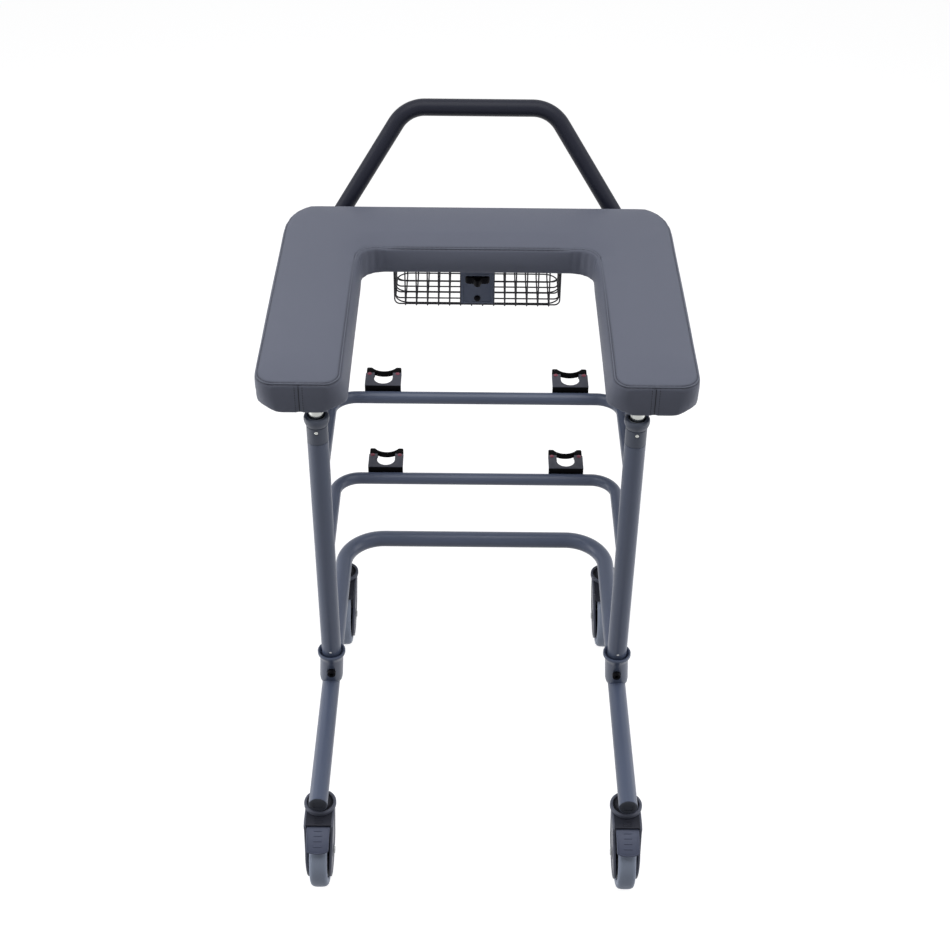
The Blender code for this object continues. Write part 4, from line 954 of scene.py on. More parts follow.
def make_clips():
    body = merged(clip_body_mesh(), clip_rim_mesh())
    half = CLIP_HALF - 0.0006
    outline = oblong((-half, half), (CLIP_NEAR - 0.0005, CLIP_NEAR + 0.0022), 0.0004)
    # A black strip over the holder's near face, so that face is darker than the plate's grey top
    near_strip = slab("near_strip", outline, 0.0066, CLIP_TOP - 0.0013, edge=0.0004)
    jaws = grip_mesh()
    pin = pin_mesh()
    for level, height in RAIL_HEIGHTS.items():
        for name, sign in SIDES.items():
            x, y, z = place = (sign * CLIP_X, RAIL_FAR_Y, height)
            label = f"{level}_{name}"
            piece(f"clip_plate_{label}", moved(body, place), "frame", CLIP_MOULDING, [f"clip_body_{label}"])
            piece(f"clip_pad_{label}", moved(near_strip, place), "frame", GRIP_RUBBER)
            piece(f"clip_jaws_{label}", moved(jaws, place), "frame", GRIP_RUBBER, [f"clip_grip_{label}"])
            spots = [(x + side, y + CLIP_FAR - 0.0036, z + CLIP_TOP) for side in (-CLIP_PIN_X, CLIP_PIN_X)]
            pins = copies("pins", pin.copy(), spots, RED_PIN)
            piece(f"clip_pins_{label}", pins, "frame")


def pin_mesh():
    """A low round head, such as holds a rubber grip on its plate."""
    return turned("pin", [
        (0, 0.0016),
        (0.0024, 0.0015),
        (0.0037, 0.0008),
        (0.0042, -0.0003),
        (0.0042, -0.003),
        (0, -0.003),
    ], segments=32)


def grip_mesh():
    """The rubber grip: two blunt jaws, the thin band between them and fine upright ribs on its far face."""
    seat = CLIP_FAR + 0.0003
    half = CLIP_HALF - 0.001
    radius, reach, depth, band = 0.0264, 0.0062, 0.012, 0.0042
    centre = (0, seat + reach + radius)
    tip = seat + reach + depth
    sweep = acos(1 - depth / radius)
    cradle = arc(centre, radius, -pi / 2 - sweep, -pi / 2 + sweep, 32)
    inner = CLIP_HOLE - 0.0003
    back_sweep = asin(inner / (radius + band))
    back = arc(centre, radius + band, -pi / 2 + back_sweep, -pi / 2 - back_sweep, 24)
    outline = [
        *cradle,
        (half - 0.0022, tip),
        (half - 0.0006, tip - 0.0008),
        (half, tip - 0.0026),
        (half, seat),
        (inner, seat),
        *back,
        (-inner, seat),
        (-half, seat),
        (-half, tip - 0.0026),
        (0.0006 - half, tip - 0.0008),
        (0.0022 - half, tip),
    ]
    low, high = CLIP_TOP - 0.011, CLIP_TOP - 0.001
    jaws = slab("jaws", outline, low, high, edge=0.0006)
    rib = slab("rib", circle(0.0005, 12), low + 0.0012, high - 0.0010, edge=0.0003)
    spots = []
    count = 19
    for step in range(count):
        angle = -pi / 2 + sweep * 0.9 * (2 * step / (count - 1) - 1)
        spots.append((centre[0] + radius * cos(angle), centre[1] + radius * sin(angle), 0))
    return merged(jaws, copies("ribs", rib, spots, GRIP_RUBBER))


# Casters

AXLE = Vector((0, -TRAIL, WHEEL_RADIUS))
FORK_TOP = CASTER_HEIGHT - RING_HEIGHT
BONNET_ROOM = WHEEL_RADIUS + 0.004
CHEEK_INNER = CHEEK_GAP / 2 - 0.0010
CHEEK_OUTER = CHEEK_INNER + CHEEK_THICKNESS - 0.0002
STEM_HOLE = 0.0053
PEDAL_INNER = WHEEL_RADIUS + 0.007
PEDAL_OUTER = PEDAL_INNER + 0.004
PEDAL_START = radians(5)
PEDAL_END = radians(46)


def over_wheel(radius, angle):
    """A point (y, z) at a distance from the axle and an angle from upright towards the user."""
    return (AXLE.y - radius * sin(angle), AXLE.z + radius * cos(angle))


PEDAL_PIVOT = over_wheel((PEDAL_INNER + PEDAL_OUTER) / 2, PEDAL_START)


def tyre_mesh():
    """The grey tread: a crowned tyre with round shoulders and a step at its bead."""
    half_profile = [
        (WHEEL_RADIUS, 0.0),
        (WHEEL_RADIUS - 0.00008, 0.004),
        (WHEEL_RADIUS - 0.00040, 0.0075),
        (WHEEL_RADIUS - 0.0011, 0.0105),
        (WHEEL_RADIUS - 0.0024, 0.0128),
        (WHEEL_RADIUS - 0.0042, 0.0143),
        (WHEEL_RADIUS - 0.0065, 0.0151),
        (WHEEL_RADIUS - 0.0098, 0.01525),
        (WHEEL_RADIUS - 0.0122, 0.0149),
        (WHEEL_RADIUS - 0.0130, 0.0141),
        (WHEEL_RADIUS - 0.0150, 0.0139),
    ]
    profile = [(r, -x) for r, x in reversed(half_profile)] + half_profile[1:]
    return moved(turned("tyre", profile, "X", 128, closed=True), AXLE)


def hub_mesh():
    """The hub: a rim, a dished web with ribs on both faces, and a boss."""
    rim = WHEEL_RADIUS - 0.0153
    half_profile = [
        (rim, 0.0118),
        (rim - 0.0008, 0.0124),
        (rim - 0.0028, 0.0124),
        (rim - 0.0038, 0.0116),
        (rim - 0.0056, 0.0052),
        (rim - 0.0075, 0.0040),
        (0.0165, 0.0040),
        (0.0146, 0.0052),
        (0.0128, 0.0156),
        (0.0118, 0.0167),
        (BOLT_HOLE, 0.0167),
    ]
    profile = half_profile + [(r, -x) for r, x in reversed(half_profile)]
    hub = turned("hub", profile, "X", 96, closed=True)
    plan = oblong((0.0130, 0.0400), (-0.0100, 0.0100), 0.002)
    rib = slab("rib", plan, -0.0011, 0.0011, SPOKE_PLANE, edge=0.0005)
    turns = [(2 * pi * spoke / 8, 0, 0) for spoke in range(8)]
    ribs = copies("ribs", rib, [(0, 0, 0)] * 8, HUB_MOULDING, turns)
    return moved(merged(hub, ribs), AXLE)


def axle_mesh():
    """The wheel's bolt: a washer and a low hexagon on both sides."""
    seat = CHEEK_OUTER - cheek_shift(WHEEL_RADIUS + 0.0075) + 0.0003
    washer = [
        (BOLT_RADIUS, 0.0),
        (0.0074, 0.0),
        (0.0078, 0.0003),
        (0.0078, 0.0008),
        (0.0074, 0.0011),
        (BOLT_RADIUS, 0.0011),
    ]
    parts = [rod("shank", BOLT_RADIUS, -seat, seat, "X", 40)]
    for sign in (-1, 1):
        profile = [(r, sign * (seat + x)) for r, x in washer]
        parts.append(turned("washer", profile, "X", 48, closed=True))
        low, high = sorted((sign * (seat + 0.0011), sign * (seat + 0.0024)))
        parts.append(slab("head", eased(circle(0.0066, 6), 0.0006, 2), low, high, SIDEWAYS, edge=0.0004))
    return moved(merged(*parts), AXLE)


def cheek_shift(height):
    """How far a cheek has come in towards the wheel at a height."""
    return max(0.0, CHEEK_LEAN * (FORK_TOP - height))


def cheek_outline():
    """A cheek's side view: a disc about the axle that rises to a narrower crown."""
    crown_back = PEDAL_PIVOT[0] - 0.0065
    corners = [
        (0.0070, FORK_TOP),
        (PEDAL_PIVOT[0] + 0.004, FORK_TOP),
        (crown_back, PEDAL_PIVOT[1] + 0.003),
        (crown_back - 0.001, PEDAL_PIVOT[1] - 0.006),
    ]
    return eased(corners, [0.003, 0.004, 0.003, 0], 4, closed=False) + arc(
        (AXLE.y, AXLE.z), CHEEK_RADIUS, radians(135), radians(372), 48)


def fork_mesh():
    """The moulded fork: two cheeks with a raised rim and boss, and the ring above them."""
    outline = cheek_outline()
    inset = 0.86
    recess = [(AXLE.y + (y - AXLE.y) * inset, AXLE.z + (z - AXLE.z) * inset - 0.0015) for y, z in outline]
    boss = [(BOLT_HOLE, 0.0), (0.0128, 0.0), (0.0118, 0.0010), (0.0112, 0.0012), (BOLT_HOLE, 0.0012)]
    parts = []
    for sign in (-1, 1):
        low, high = sorted((sign * CHEEK_INNER, sign * CHEEK_OUTER))
        cheek = slab("cheek", outline, low, high, SIDEWAYS, edge=0.0014, edge_steps=3)
        low, high = sorted((sign * (CHEEK_OUTER - 0.0009), sign * (CHEEK_OUTER + 0.01)))
        pocket = slab("pocket", recess, low, high, SIDEWAYS)
        cheek = cut_out(cheek, moved(rod("hole", BOLT_HOLE, -0.05, 0.05, "X", 40), AXLE), pocket)
        profile = [(r, sign * (CHEEK_OUTER - 0.0012 + x)) for r, x in boss]
        parts += [cheek, moved(turned("boss", profile, "X", 56, closed=True), AXLE)]
    cheeks = merged(*parts)
    for vertex in cheeks.vertices:
        shift = cheek_shift(vertex.co.z)
        vertex.co.x += -shift if vertex.co.x > 0 else shift
    return merged(cheeks, fork_ring())


def bonnet_part(half, front, back, bevel):
    """A length of the arched bonnet, from its front to its back over the wheel."""
    start = asin((AXLE.y - front) / BONNET_ROOM)
    end = asin((AXLE.y - back) / BONNET_ROOM)
    under = [over_wheel(BONNET_ROOM, start + (end - start) * step / 24) for step in range(25)]
    foot = (back + 0.0068, under[-1][1] - 0.006)
    outline = [foot, (back, foot[1])] + under[::-1][1:]
    crown = [under[0], (front, FORK_TOP - bevel), (front + 0.004, FORK_TOP), (back + 0.0012, FORK_TOP), foot]
    outline += eased(crown, [0, 0.002, 0.002, 0.002, 0], 3, closed=False)[1:-1]
    return slab("bonnet", outline, -half, half, SIDEWAYS)


def bonnet_mesh(braked):
    """The bonnet over the wheel. On a braked caster a thin lip covers the pedal's root."""
    top = FORK_TOP
    back = 0.0090
    half = CHEEK_INNER + 0.0012
    front = PEDAL_PIVOT[0] + 0.0045 if braked else over_wheel(BONNET_ROOM, radians(22))[0] - 0.001
    parts = [bonnet_part(half, front, back, 0.002 if braked else 0.006)]
    if braked:
        tip, under = PEDAL_PIVOT[0] - 0.0058, top - 0.0024
        lip = [(tip, under), (tip, top), (front + 0.004, top), (front + 0.004, under)]
        parts.append(slab("lip", eased(lip, [0.0008, 0.0014, 0, 0], 3), -half, half, SIDEWAYS))
        front = tip + 0.0015
    bar = slab("bar", circle(0.0009, 12), -0.0068, 0.0068, SIDEWAYS)
    spots = [(0, front + 0.0026 + 0.0038 * i, top) for i in range(4)]
    return merged(*parts, copies("ridges", bar, spots, DARK_NYLON))


def fork_ring():
    """The turning ring: a dished cup that holds the swivel head."""
    floor = CASTER_HEIGHT - 0.0040
    bottom = FORK_TOP - 0.0004
    lip = RING_RADIUS - 0.005
    return turned("ring", [
        (STEM_HOLE, floor),
        (lip - 0.0006, floor),
        (lip, floor + 0.0006),
        (lip, CASTER_HEIGHT - 0.0010),
        (lip + 0.0008, CASTER_HEIGHT),
        (RING_RADIUS - 0.0014, CASTER_HEIGHT),
        (RING_RADIUS - 0.0004, CASTER_HEIGHT - 0.0004),
        (RING_RADIUS, CASTER_HEIGHT - 0.0014),
        (RING_RADIUS, bottom + 0.0010),
        (RING_RADIUS - 0.0010, bottom),
        (STEM_HOLE, bottom),
    ], closed=True, segments=72)


def head_mesh():
    """The swivel head: a stem into the tube, a boss under it, a dished race in the ring and a rivet below."""
    race = RING_RADIUS - 0.0057
    stem_top = BASE_Z + 0.0075
    seat = BASE_Z - BASE_OD / 2 - 0.0003
    brim = CASTER_HEIGHT
    rivet = FORK_TOP - 0.0168
    return turned("head", [
        (0, stem_top),
        (0.0052, stem_top),
        (0.0060, stem_top - 0.0008),
        (0.0060, seat),
        (0.0106, seat),
        (0.0110, seat - 0.0004),
        (0.0110, brim + 0.0020),
        (0.0125, brim + 0.0004),
        (race - 0.0030, brim - 0.0012),
        (race - 0.0014, brim - 0.0006),
        (race - 0.0004, brim - 0.0004),
        (race, brim - 0.0009),
        (race, brim - 0.0034),
        (0.0050, brim - 0.0034),
        (0.0050, rivet),
        (0, rivet),
    ], segments=72)


def half_turn(half, end, depth):
    """The round end of a plate: points from +half to -half, reaching depth past where it starts."""
    return [(half * cos(a), end + depth * sin(a)) for a in (pi * step / 16 for step in range(17))]


def flat_pedal(length, root_half):
    """The pedal's plate before it is bent: a rounded tongue with four cross ridges and a raised border."""
    side_half, tip_half, thick = 0.0197, 0.0190, PEDAL_OUTER - PEDAL_INNER
    outline = [
        (root_half, 0),
        (root_half, 0.003),
        (side_half, 0.005),
        *half_turn(tip_half, length - 0.0065, 0.0065),
        (-side_half, 0.005),
        (-root_half, 0.003),
        (-root_half, 0),
    ]
    plate = slab("pedal", outline, 0, thick, edge=0.0009, edge_steps=3)
    bar = slab("bar", circle(0.0011, 12), -0.0070, 0.0070, SIDEWAYS, edge=0.0003)
    spots = [(0, length * share, thick) for share in (0.24, 0.41, 0.58, 0.75)]
    ridges = copies("ridges", bar, spots, GREY_MOULDING)
    edge = [
        (side_half - 0.0016, 0.006),
        *half_turn(tip_half - 0.0018, length - 0.0078, 0.0062),
        (0.0016 - side_half, 0.006),
    ]
    run = [(x, y, thick) for x, y in edge]
    border = grown("border", TUBE, lines_mesh("border", [run]), GREY_MOULDING, Radius=0.0007, Sides=8)
    return merged(plate, ridges, border)


def pedal_mesh():
    """The brake pedal: a plate bent round the wheel, its barrel and its two stub pins."""
    root_half = CHEEK_INNER - 0.0006
    middle = (PEDAL_INNER + PEDAL_OUTER) / 2
    length = middle * (PEDAL_END - PEDAL_START)
    pedal = flat_pedal(length, root_half)
    shape = bmesh.new()
    shape.from_mesh(pedal)
    for step in range(1, 24):
        cut = (0, length * step / 24, 0)
        parts = shape.verts[:] + shape.edges[:] + shape.faces[:]
        bmesh.ops.bisect_plane(shape, geom=parts, plane_co=cut, plane_no=(0, 1, 0))
    for vertex in shape.verts:
        x, along, above = vertex.co
        y, z = over_wheel(PEDAL_INNER + above, PEDAL_START + along / middle)
        vertex.co = (x, y, z)
    shape.to_mesh(pedal)
    shape.free()
    barrel = slab("barrel", circle(0.0035, 32, PEDAL_PIVOT), -root_half, root_half, SIDEWAYS, edge=0.0003)
    reach = CHEEK_GAP / 2 + 0.0022
    pin = slab("pin", circle(0.002, 24, PEDAL_PIVOT), -reach, reach, SIDEWAYS)
    return merged(pedal, barrel, pin)


def make_casters():
    fork = fork_mesh()
    bonnets = {"near": bonnet_mesh(True), "far": bonnet_mesh(False)}
    meshes = {
        "caster_head": (head_mesh(), DARK_STEEL, "steel"),
        "tyre": (tyre_mesh(), TREAD_RUBBER, "tread"),
        "wheel_hub": (hub_mesh(), HUB_MOULDING, "grey_plastic"),
        "wheel_axle": (axle_mesh(), ZINC, "steel"),
        "brake_pedal": (pedal_mesh(), PEDAL_MOULDING, "grey_plastic"),
    }
    for end, side in CORNERS:
        place = (SIDES[side] * HALF_TRACK, SWIVEL_Y[end], 0)
        label = f"{end}_{side}"
        piece(f"fork_shell_{label}", moved(fork, place), f"caster_{label}", FORK_MOULDING, [f"fork_{label}"])
        piece(f"fork_bonnet_{label}", moved(bonnets[end], place), f"caster_{label}", DARK_NYLON)
        riders = {"caster_head": "frame", "tyre": f"wheel_{label}", "wheel_hub": f"wheel_{label}",
                  "wheel_axle": f"caster_{label}", "brake_pedal": f"pedal_{label}"}
        for kind, body in riders.items():
            if kind == "brake_pedal" and end == "far":
                continue
            mesh, material, slot_name = meshes[kind]
            piece(f"{kind}_skin_{label}", moved(mesh, place), body, material, [f"{kind}_{label}"])


# The armrest's steel plate and handle

PLATE_SCREWS = [
    (0.250, -0.120),
    (0.250, -0.010),
    (0.250, 0.100),
    (0.250, 0.210),
    (0.270, 0.328),
    (0.090, 0.328),
]


def stud_hole():
    """The tool for the knob's hole, through the plate and the bracket."""
    return moved(rod("hole", BOLT_HOLE, 0.7, 0.9, segments=32), (0, KNOB_Y, 0))


def make_plate():
    near = POST_Y - 0.0135
    far = PAD_FAR_Y - 0.060
    outside, inside = POST_HALF_TRACK + 0.046, POST_HALF_TRACK - 0.020
    strip = far - 0.060
    outline = [
        (outside, near),
        (outside, far),
        (-outside, far),
        (-outside, near),
        (-inside, near),
        (-inside, strip),
        (inside, strip),
        (inside, near),
    ]
    outline = eased(outline, [0.008, 0.012, 0.012, 0.008, 0.008, 0.020, 0.020, 0.008], 8)
    plate = slab("plate", outline, PLATE_BOTTOM, PLATE_BOTTOM + PLATE_THICKNESS, edge=0.0005)
    plate = cut_out(plate, stud_hole())
    piece("mount_plate_skin", plate, "armrest", FRAME_COAT, ["mount_plate"])
    head = turned("head", [
        (0, -0.0022),
        (0.0022, -0.0021),
        (0.0040, -0.0014),
        (0.0048, -0.0003),
        (0.0048, 0.0002),
        (0, 0.0002),
    ], segments=32)
    spots = [(sign * x, y, PLATE_BOTTOM) for sign in (-1, 1) for x, y in PLATE_SCREWS]
    piece("plate_screws", copies("plate_screws", head, spots, ZINC), "armrest")


def make_handle():
    right = [HANDLE_TOP, (RUN_X, HANDLE_CORNER_Y, RUN_Z), (RUN_X, RUN_START_Y, RUN_Z)]
    left = [(-x, y, z) for x, y, z in reversed(right)]
    radii = [HANDLE_LOW_BEND, HANDLE_TOP_BEND, HANDLE_TOP_BEND, HANDLE_LOW_BEND]
    path = bent_path(left + right, radii, 18)
    piece("handle_skin", tube("handle_skin", path, HANDLE_OD, HANDLE_COAT, 56), "armrest",
          replaces=["handle_tube"])
    for name, sign in SIDES.items():
        mesh = moved(tube_plug(), (sign * RUN_X, RUN_START_Y, RUN_Z))
        piece(f"handle_end_{name}", mesh, "armrest", BLACK_MOULDING, [f"handle_plug_{name}"])


# Basket

WIRE = 0.003
WIRE_RADIUS = WIRE / 2 - 0.0001
RIM_RADIUS = 0.0019
COLUMNS = 14
COLUMN_PITCH = 0.0210
ROW_PITCH = 0.0215
ROWS = 5
HOOP_HEIGHTS = (0.0053, 0.0292, 0.0521)


def rounded_run(points, radius, steps=6):
    """A wire's run with each inner corner bent round."""
    return bent_path(points, [radius] * (len(points) - 2), steps)


def make_basket():
    half, near, far = BASKET_HALF_LENGTH, BASKET_NEAR_Y, BASKET_NEAR_Y + BASKET_DEPTH
    floor, rim = BASKET_FLOOR, BASKET_RIM
    runs = []
    for column in range(COLUMNS):
        x = (column - (COLUMNS - 1) / 2) * COLUMN_PITCH
        front, back, drop = near - 0.0013, far + 0.0013, floor - 0.0012
        runs.append(rounded_run([(x, front, rim), (x, front, drop), (x, back, drop), (x, back, rim)], 0.006))
    for row in range(ROWS):
        y, low = near + 0.0030 + row * ROW_PITCH, floor + 0.0015
        runs.append(rounded_run([(-half, y, rim), (-half, y, low), (half, y, low), (half, y, rim)], 0.010))
    rings = [plan_ring(half - 0.0012, near + 0.0012, far - 0.0012, floor + height, 0.026)
             for height in HOOP_HEIGHTS]
    top = [plan_ring(half, near, far, rim, 0.027)]
    wires = grown("wires", TUBE, lines_mesh("wires", runs), WIRE_COAT, Radius=WIRE_RADIUS, Sides=10)
    mesh = lines_mesh("hoops", rings, closed=True)
    hoops = grown("hoops", TUBE, mesh, WIRE_COAT, Radius=WIRE_RADIUS, Sides=10)
    mesh = lines_mesh("border", top, closed=True)
    border = grown("border", TUBE, mesh, WIRE_COAT, Radius=RIM_RADIUS, Sides=12)
    piece("basket_wires", merged(wires, hoops, border), "armrest", WIRE_COAT, ["basket"])


def plan_ring(half, near, far, height, radius, steps=8):
    """A level ring with round corners, as 3D points."""
    corners = [(half, near), (half, far), (-half, far), (-half, near)]
    starts = [-pi / 2, 0, pi / 2, pi]
    points = []
    for (x, y), start in zip(corners, starts):
        centre = (x - radius * (1 if x > 0 else -1), y + radius * (1 if y == near else -1))
        points += [(px, py, height) for px, py in arc(centre, radius, start, start + pi / 2, steps)]
    return points


# The basket's bracket and the knob that holds it

BRACKET_HALF = 0.031
BRACKET_WALL = 0.003
BRACKET_LIP = 0.0205
BRACKET_FRONT = BRACKET_Y + BRACKET_WALL - 0.051
KNOB_RADIUS = 0.0192
KNOB_WAVE = 0.0043
KNOB_LOBES = 5
KNOB_HEIGHT = 0.0145
KNOB_NECK = 0.0219


def bracket_mesh():
    """The bracket: a sheet bent forward at its top and down in front, with a pressed groove and border."""
    half, wall, front = BRACKET_HALF, BRACKET_WALL, BRACKET_FRONT
    top, bottom = BRACKET_TOP, BRACKET_BOTTOM
    corners = [
        (BRACKET_Y, bottom),
        (BRACKET_Y + wall, bottom),
        (BRACKET_Y + wall, top),
        (front, top),
        (front, top - BRACKET_LIP),
        (front + 0.0022, top - BRACKET_LIP),
        (front + 0.0022, top - wall),
        (BRACKET_Y, top - wall),
    ]
    outline = eased(corners, [0.0004, 0.0004, 0.0045, 0.0035, 0.0004, 0.0004, 0.0016, 0.0016], 6)
    sheet = slab("sheet", outline, -half, half, SIDEWAYS, edge=0.0004)
    groove = slab("groove", oblong((-0.022, 0.022), (0, 0.0022), 0.0009, 4), -0.01, 0.0009, FACING_AHEAD)
    sheet = cut_out(sheet, stud_hole(), moved(groove, (0, front, top - 0.0170)))
    edge = oblong((0.004 - half, half - 0.004), (bottom + 0.004, top - 0.0075), 0.006, 6)
    border = lines_mesh("bead", [[(x, BRACKET_Y - 0.0001, z) for x, z in edge]], closed=True)
    return merged(sheet, grown("bead", TUBE, border, FRAME_COAT, Radius=0.0007, Sides=8))


def make_bracket():
    piece("bracket_skin", bracket_mesh(), "armrest", FRAME_COAT, ["basket_bracket"])
    bolt = turned("bolt", [
        (0, 0.0046),
        (0.0026, 0.0043),
        (0.0046, 0.0034),
        (0.0058, 0.0020),
        (0.0062, 0.0008),
        (0.0062, 0.0002),
        (0.003, 0.0002),
        (0.003, -0.0097),
        (0, -0.0097),
    ], "Y", 48)
    bolt = moved(bolt, (0, BRACKET_Y, BRACKET_BOLT_Z))
    piece("bracket_bolt", bolt, "armrest", BLACK_MOULDING, ["basket_bolt"])
    outline = oblong((-0.025, 0.025), (-0.008, 0.008), 0.003, 5)
    strip = slab("strip", outline, 0, 0.003, FACING_AHEAD, edge=0.0004)
    strip = moved(strip, (0, CLAMP_STRIP_Y, BRACKET_BOLT_Z))
    piece("strip_skin", strip, "armrest", ZINC, ["clamp_strip"])


def star_lobes(bottom, top, count=120):
    """The knob's lobes, with soft rims and a raised middle on top."""
    levels = [
        (0.0100, bottom),
        (0.0030, bottom),
        (0.0008, bottom + 0.0008),
        (0, bottom + 0.0026),
        (0, top - 0.0026),
        (0.0008, top - 0.0008),
        (0.0030, top),
        (0.0085, top + 0.0008),
        (0.0100, top + 0.0022),
    ]
    rings = []
    for inset, height in levels:
        ring = []
        for step in range(count):
            angle = 2 * pi * step / count
            wave = cos(KNOB_LOBES * angle)
            radius = KNOB_RADIUS + KNOB_WAVE * (wave if wave > 0 else wave * 1.15) - inset
            ring.append((radius * sin(angle), KNOB_Y - radius * cos(angle), height))
        rings.append(ring)
    return ring_shape("lobes", rings)


def make_knob():
    """The star knob: its lobes, a neck and a steel stud."""
    neck_top = BRACKET_TOP - BRACKET_WALL - 0.0003
    top = neck_top - KNOB_NECK
    sunk = top - 0.002
    neck = turned("neck", [
        (0, neck_top),
        (0.0084, neck_top),
        (0.0092, neck_top - 0.0008),
        (0.0092, sunk),
        (0, sunk),
    ], segments=48)
    end = PLATE_BOTTOM + PLATE_THICKNESS - 0.0004
    stud = turned("stud", [
        (0, end),
        (0.0034, end),
        (BOLT_RADIUS, end - 0.0006),
        (BOLT_RADIUS, sunk),
        (0, sunk),
    ], segments=32)
    place = (0, KNOB_Y, 0)
    knob = merged(star_lobes(top - KNOB_HEIGHT, top), moved(neck, place), moved(stud, place))
    piece("knob_skin", knob, "star_knob", BLACK_MOULDING, ["star_knob"])


# Pad


def u_outline(inset, corner_steps=10, softening=0.0):
    """The pad's plan drawn in by inset, with its outer and near corners rounded more by softening."""
    near, far = PAD_NEAR_Y + inset, PAD_FAR_Y - inset
    outer, gap = PAD_HALF_WIDTH - inset, PAD_GAP_HALF + inset
    gap_far = PAD_GAP_FAR_Y + inset
    near_radius = max(PAD_NEAR_CORNER - inset, 0.004) + softening
    far_x, far_y = (max(size - inset, 0.006) + softening for size in PAD_FAR_CORNER)
    gap_near_radius = max(PAD_GAP_NEAR_CORNER - inset, 0.004) + softening
    gap_far_radius = PAD_GAP_FAR_CORNER + inset
    quarter = arc((0, 0), 1, 0, pi / 2, corner_steps)
    half = arc((outer - near_radius, near + near_radius), near_radius, -pi / 2, 0, corner_steps)
    half += [(outer - far_x + far_x * x, far - far_y + far_y * y) for x, y in quarter]
    inside = arc((-gap - gap_near_radius, near + gap_near_radius), gap_near_radius, -pi / 2, 0, corner_steps)
    inside += arc((gap_far_radius - gap, gap_far - gap_far_radius), gap_far_radius, pi, pi / 2, corner_steps)
    return half + mirrored(half) + inside + mirrored(inside)


def mirrored(points):
    """The points on the other side, in the order that goes on from the last one."""
    return [(-x, y) for x, y in reversed(points)]


def loft(name, sections):
    """A closed shape through U outlines, each with its inset, height and softening."""
    rings = []
    for inset, height, softening in sections:
        rings.append([(x, y, height) for x, y in u_outline(inset, softening=softening)])
    return tidy_mesh(ring_shape(name, rings), 50)


# How the cover is sewn and stuffed
SEAM_Z = PAD_BOTTOM + PAD_SIDE - 0.0005
SEAM_INSET = 0.0036
SEAM_DRAW = 0.0021
SEAM_SPAN = 0.0030
WELT_RADIUS = 0.0013
WELT_SINK = 0.0012
WELT_CORNER_SINK = 0.0016
WELT_CORNER = 0.025
WELT_FADE = 0.06
GATHER_DEPTH = 0.0006
GATHER_BAND = 0.012
GATHERS = 16
FAN = 0.5
CORNER_DIP = 0.0050
CORNER_REACH = 0.05
END_SEAM_DEPTH = 0.0012
END_SEAM_SPAN = 0.004
STITCH_ROW = 0.0062
VOXEL = 0.0055
HELD_REACH = 0.0042
PRESSURE = 4.0
SWELL_LIMIT = 0.0065

# How it lies in use: the gap's walls lean, its far wall rolls, the rim hangs and the near ends sink
GAP_LEAN = 0.0095
GAP_BULGE = 0.0033
LEAN_ALONG = 0.080
LEAN_ACROSS = 0.045
BAR_ROLL = 0.009
ROLL_START = 0.050
ROLL_ACROSS = 0.065
ROLL_ALONG = 0.045
RIM_HANG = 0.0026
HANG_START = 0.005
HANG_WIDTH = 0.0044
END_SINK = 0.0030
END_LENGTH = 0.09
# The lower near corners: each one's x, the way it goes in and how far it reaches, and how far it moves
LOW_CORNERS = [(PAD_HALF_WIDTH, -1, 0.036), (PAD_GAP_HALF, 1, 0.040)]
CORNER_IN = 0.006
CORNER_BACK = 0.005
CORNER_UP = 0.0085

# The board under the cushion, and the recess that the cushion leaves for it
BOARD_INSET = 0.012
BOARD_EDGE = BOARD_INSET - 0.0026
BOARD_TOP = PAD_BOTTOM + 0.0122
RECESS_TOP = PAD_BOTTOM + 0.0126


def dense(points, step):
    """A closed 2D outline with points no further apart than step."""
    result = []
    for point, after in zip(points, points[1:] + points[:1]):
        point, after = Vector(point), Vector(after)
        count = max(1, round((after - point).length / step))
        result += [point.lerp(after, i / count) for i in range(count)]
    return result


def finder(mesh):
    points = [vertex.co for vertex in mesh.vertices]
    return BVHTree.FromPolygons(points, [face.vertices for face in mesh.polygons])


def nearest_tree(points):
    tree = KDTree(len(points))
    for index, point in enumerate(points):
        tree.insert(point, index)
    tree.balance()
    return tree


def stuffed(mesh, held, pressure, limit):
    """A padded shape swollen by cloth simulation. The held points stay, and no other goes past the limit."""
    item = new_object("stuffing", mesh)
    seams = item.vertex_groups.new(name="seams")
    seams.add(held, 1.0, "REPLACE")
    cloth = item.modifiers.new("stuffing", "CLOTH")
    cloth.settings.use_pressure = True
    cloth.settings.uniform_pressure_force = pressure
    cloth.settings.vertex_group_mass = "seams"
    cloth.settings.effector_weights.gravity = 0
    cloth.settings.quality = 4
    cloth.collision_settings.use_collision = False
    before = [vertex.co.copy() for vertex in mesh.vertices]
    for moment in range(1, 21):
        bpy.context.scene.frame_set(moment)
    result = plain_mesh(item)
    bpy.context.scene.frame_set(1)
    for vertex, place in zip(result.vertices, before):
        push = vertex.co - place
        if push.length > 0:
            vertex.co = place + push * (limit * tanh(push.length / limit) / push.length)
    return result


def modified(mesh, kind, **settings):
    """The plain mesh that one modifier makes of a mesh."""
    item = new_object("blank", mesh)
    modifier = item.modifiers.new("step", kind)
    for name, value in settings.items():
        setattr(modifier, name, value)
    return plain_mesh(item)


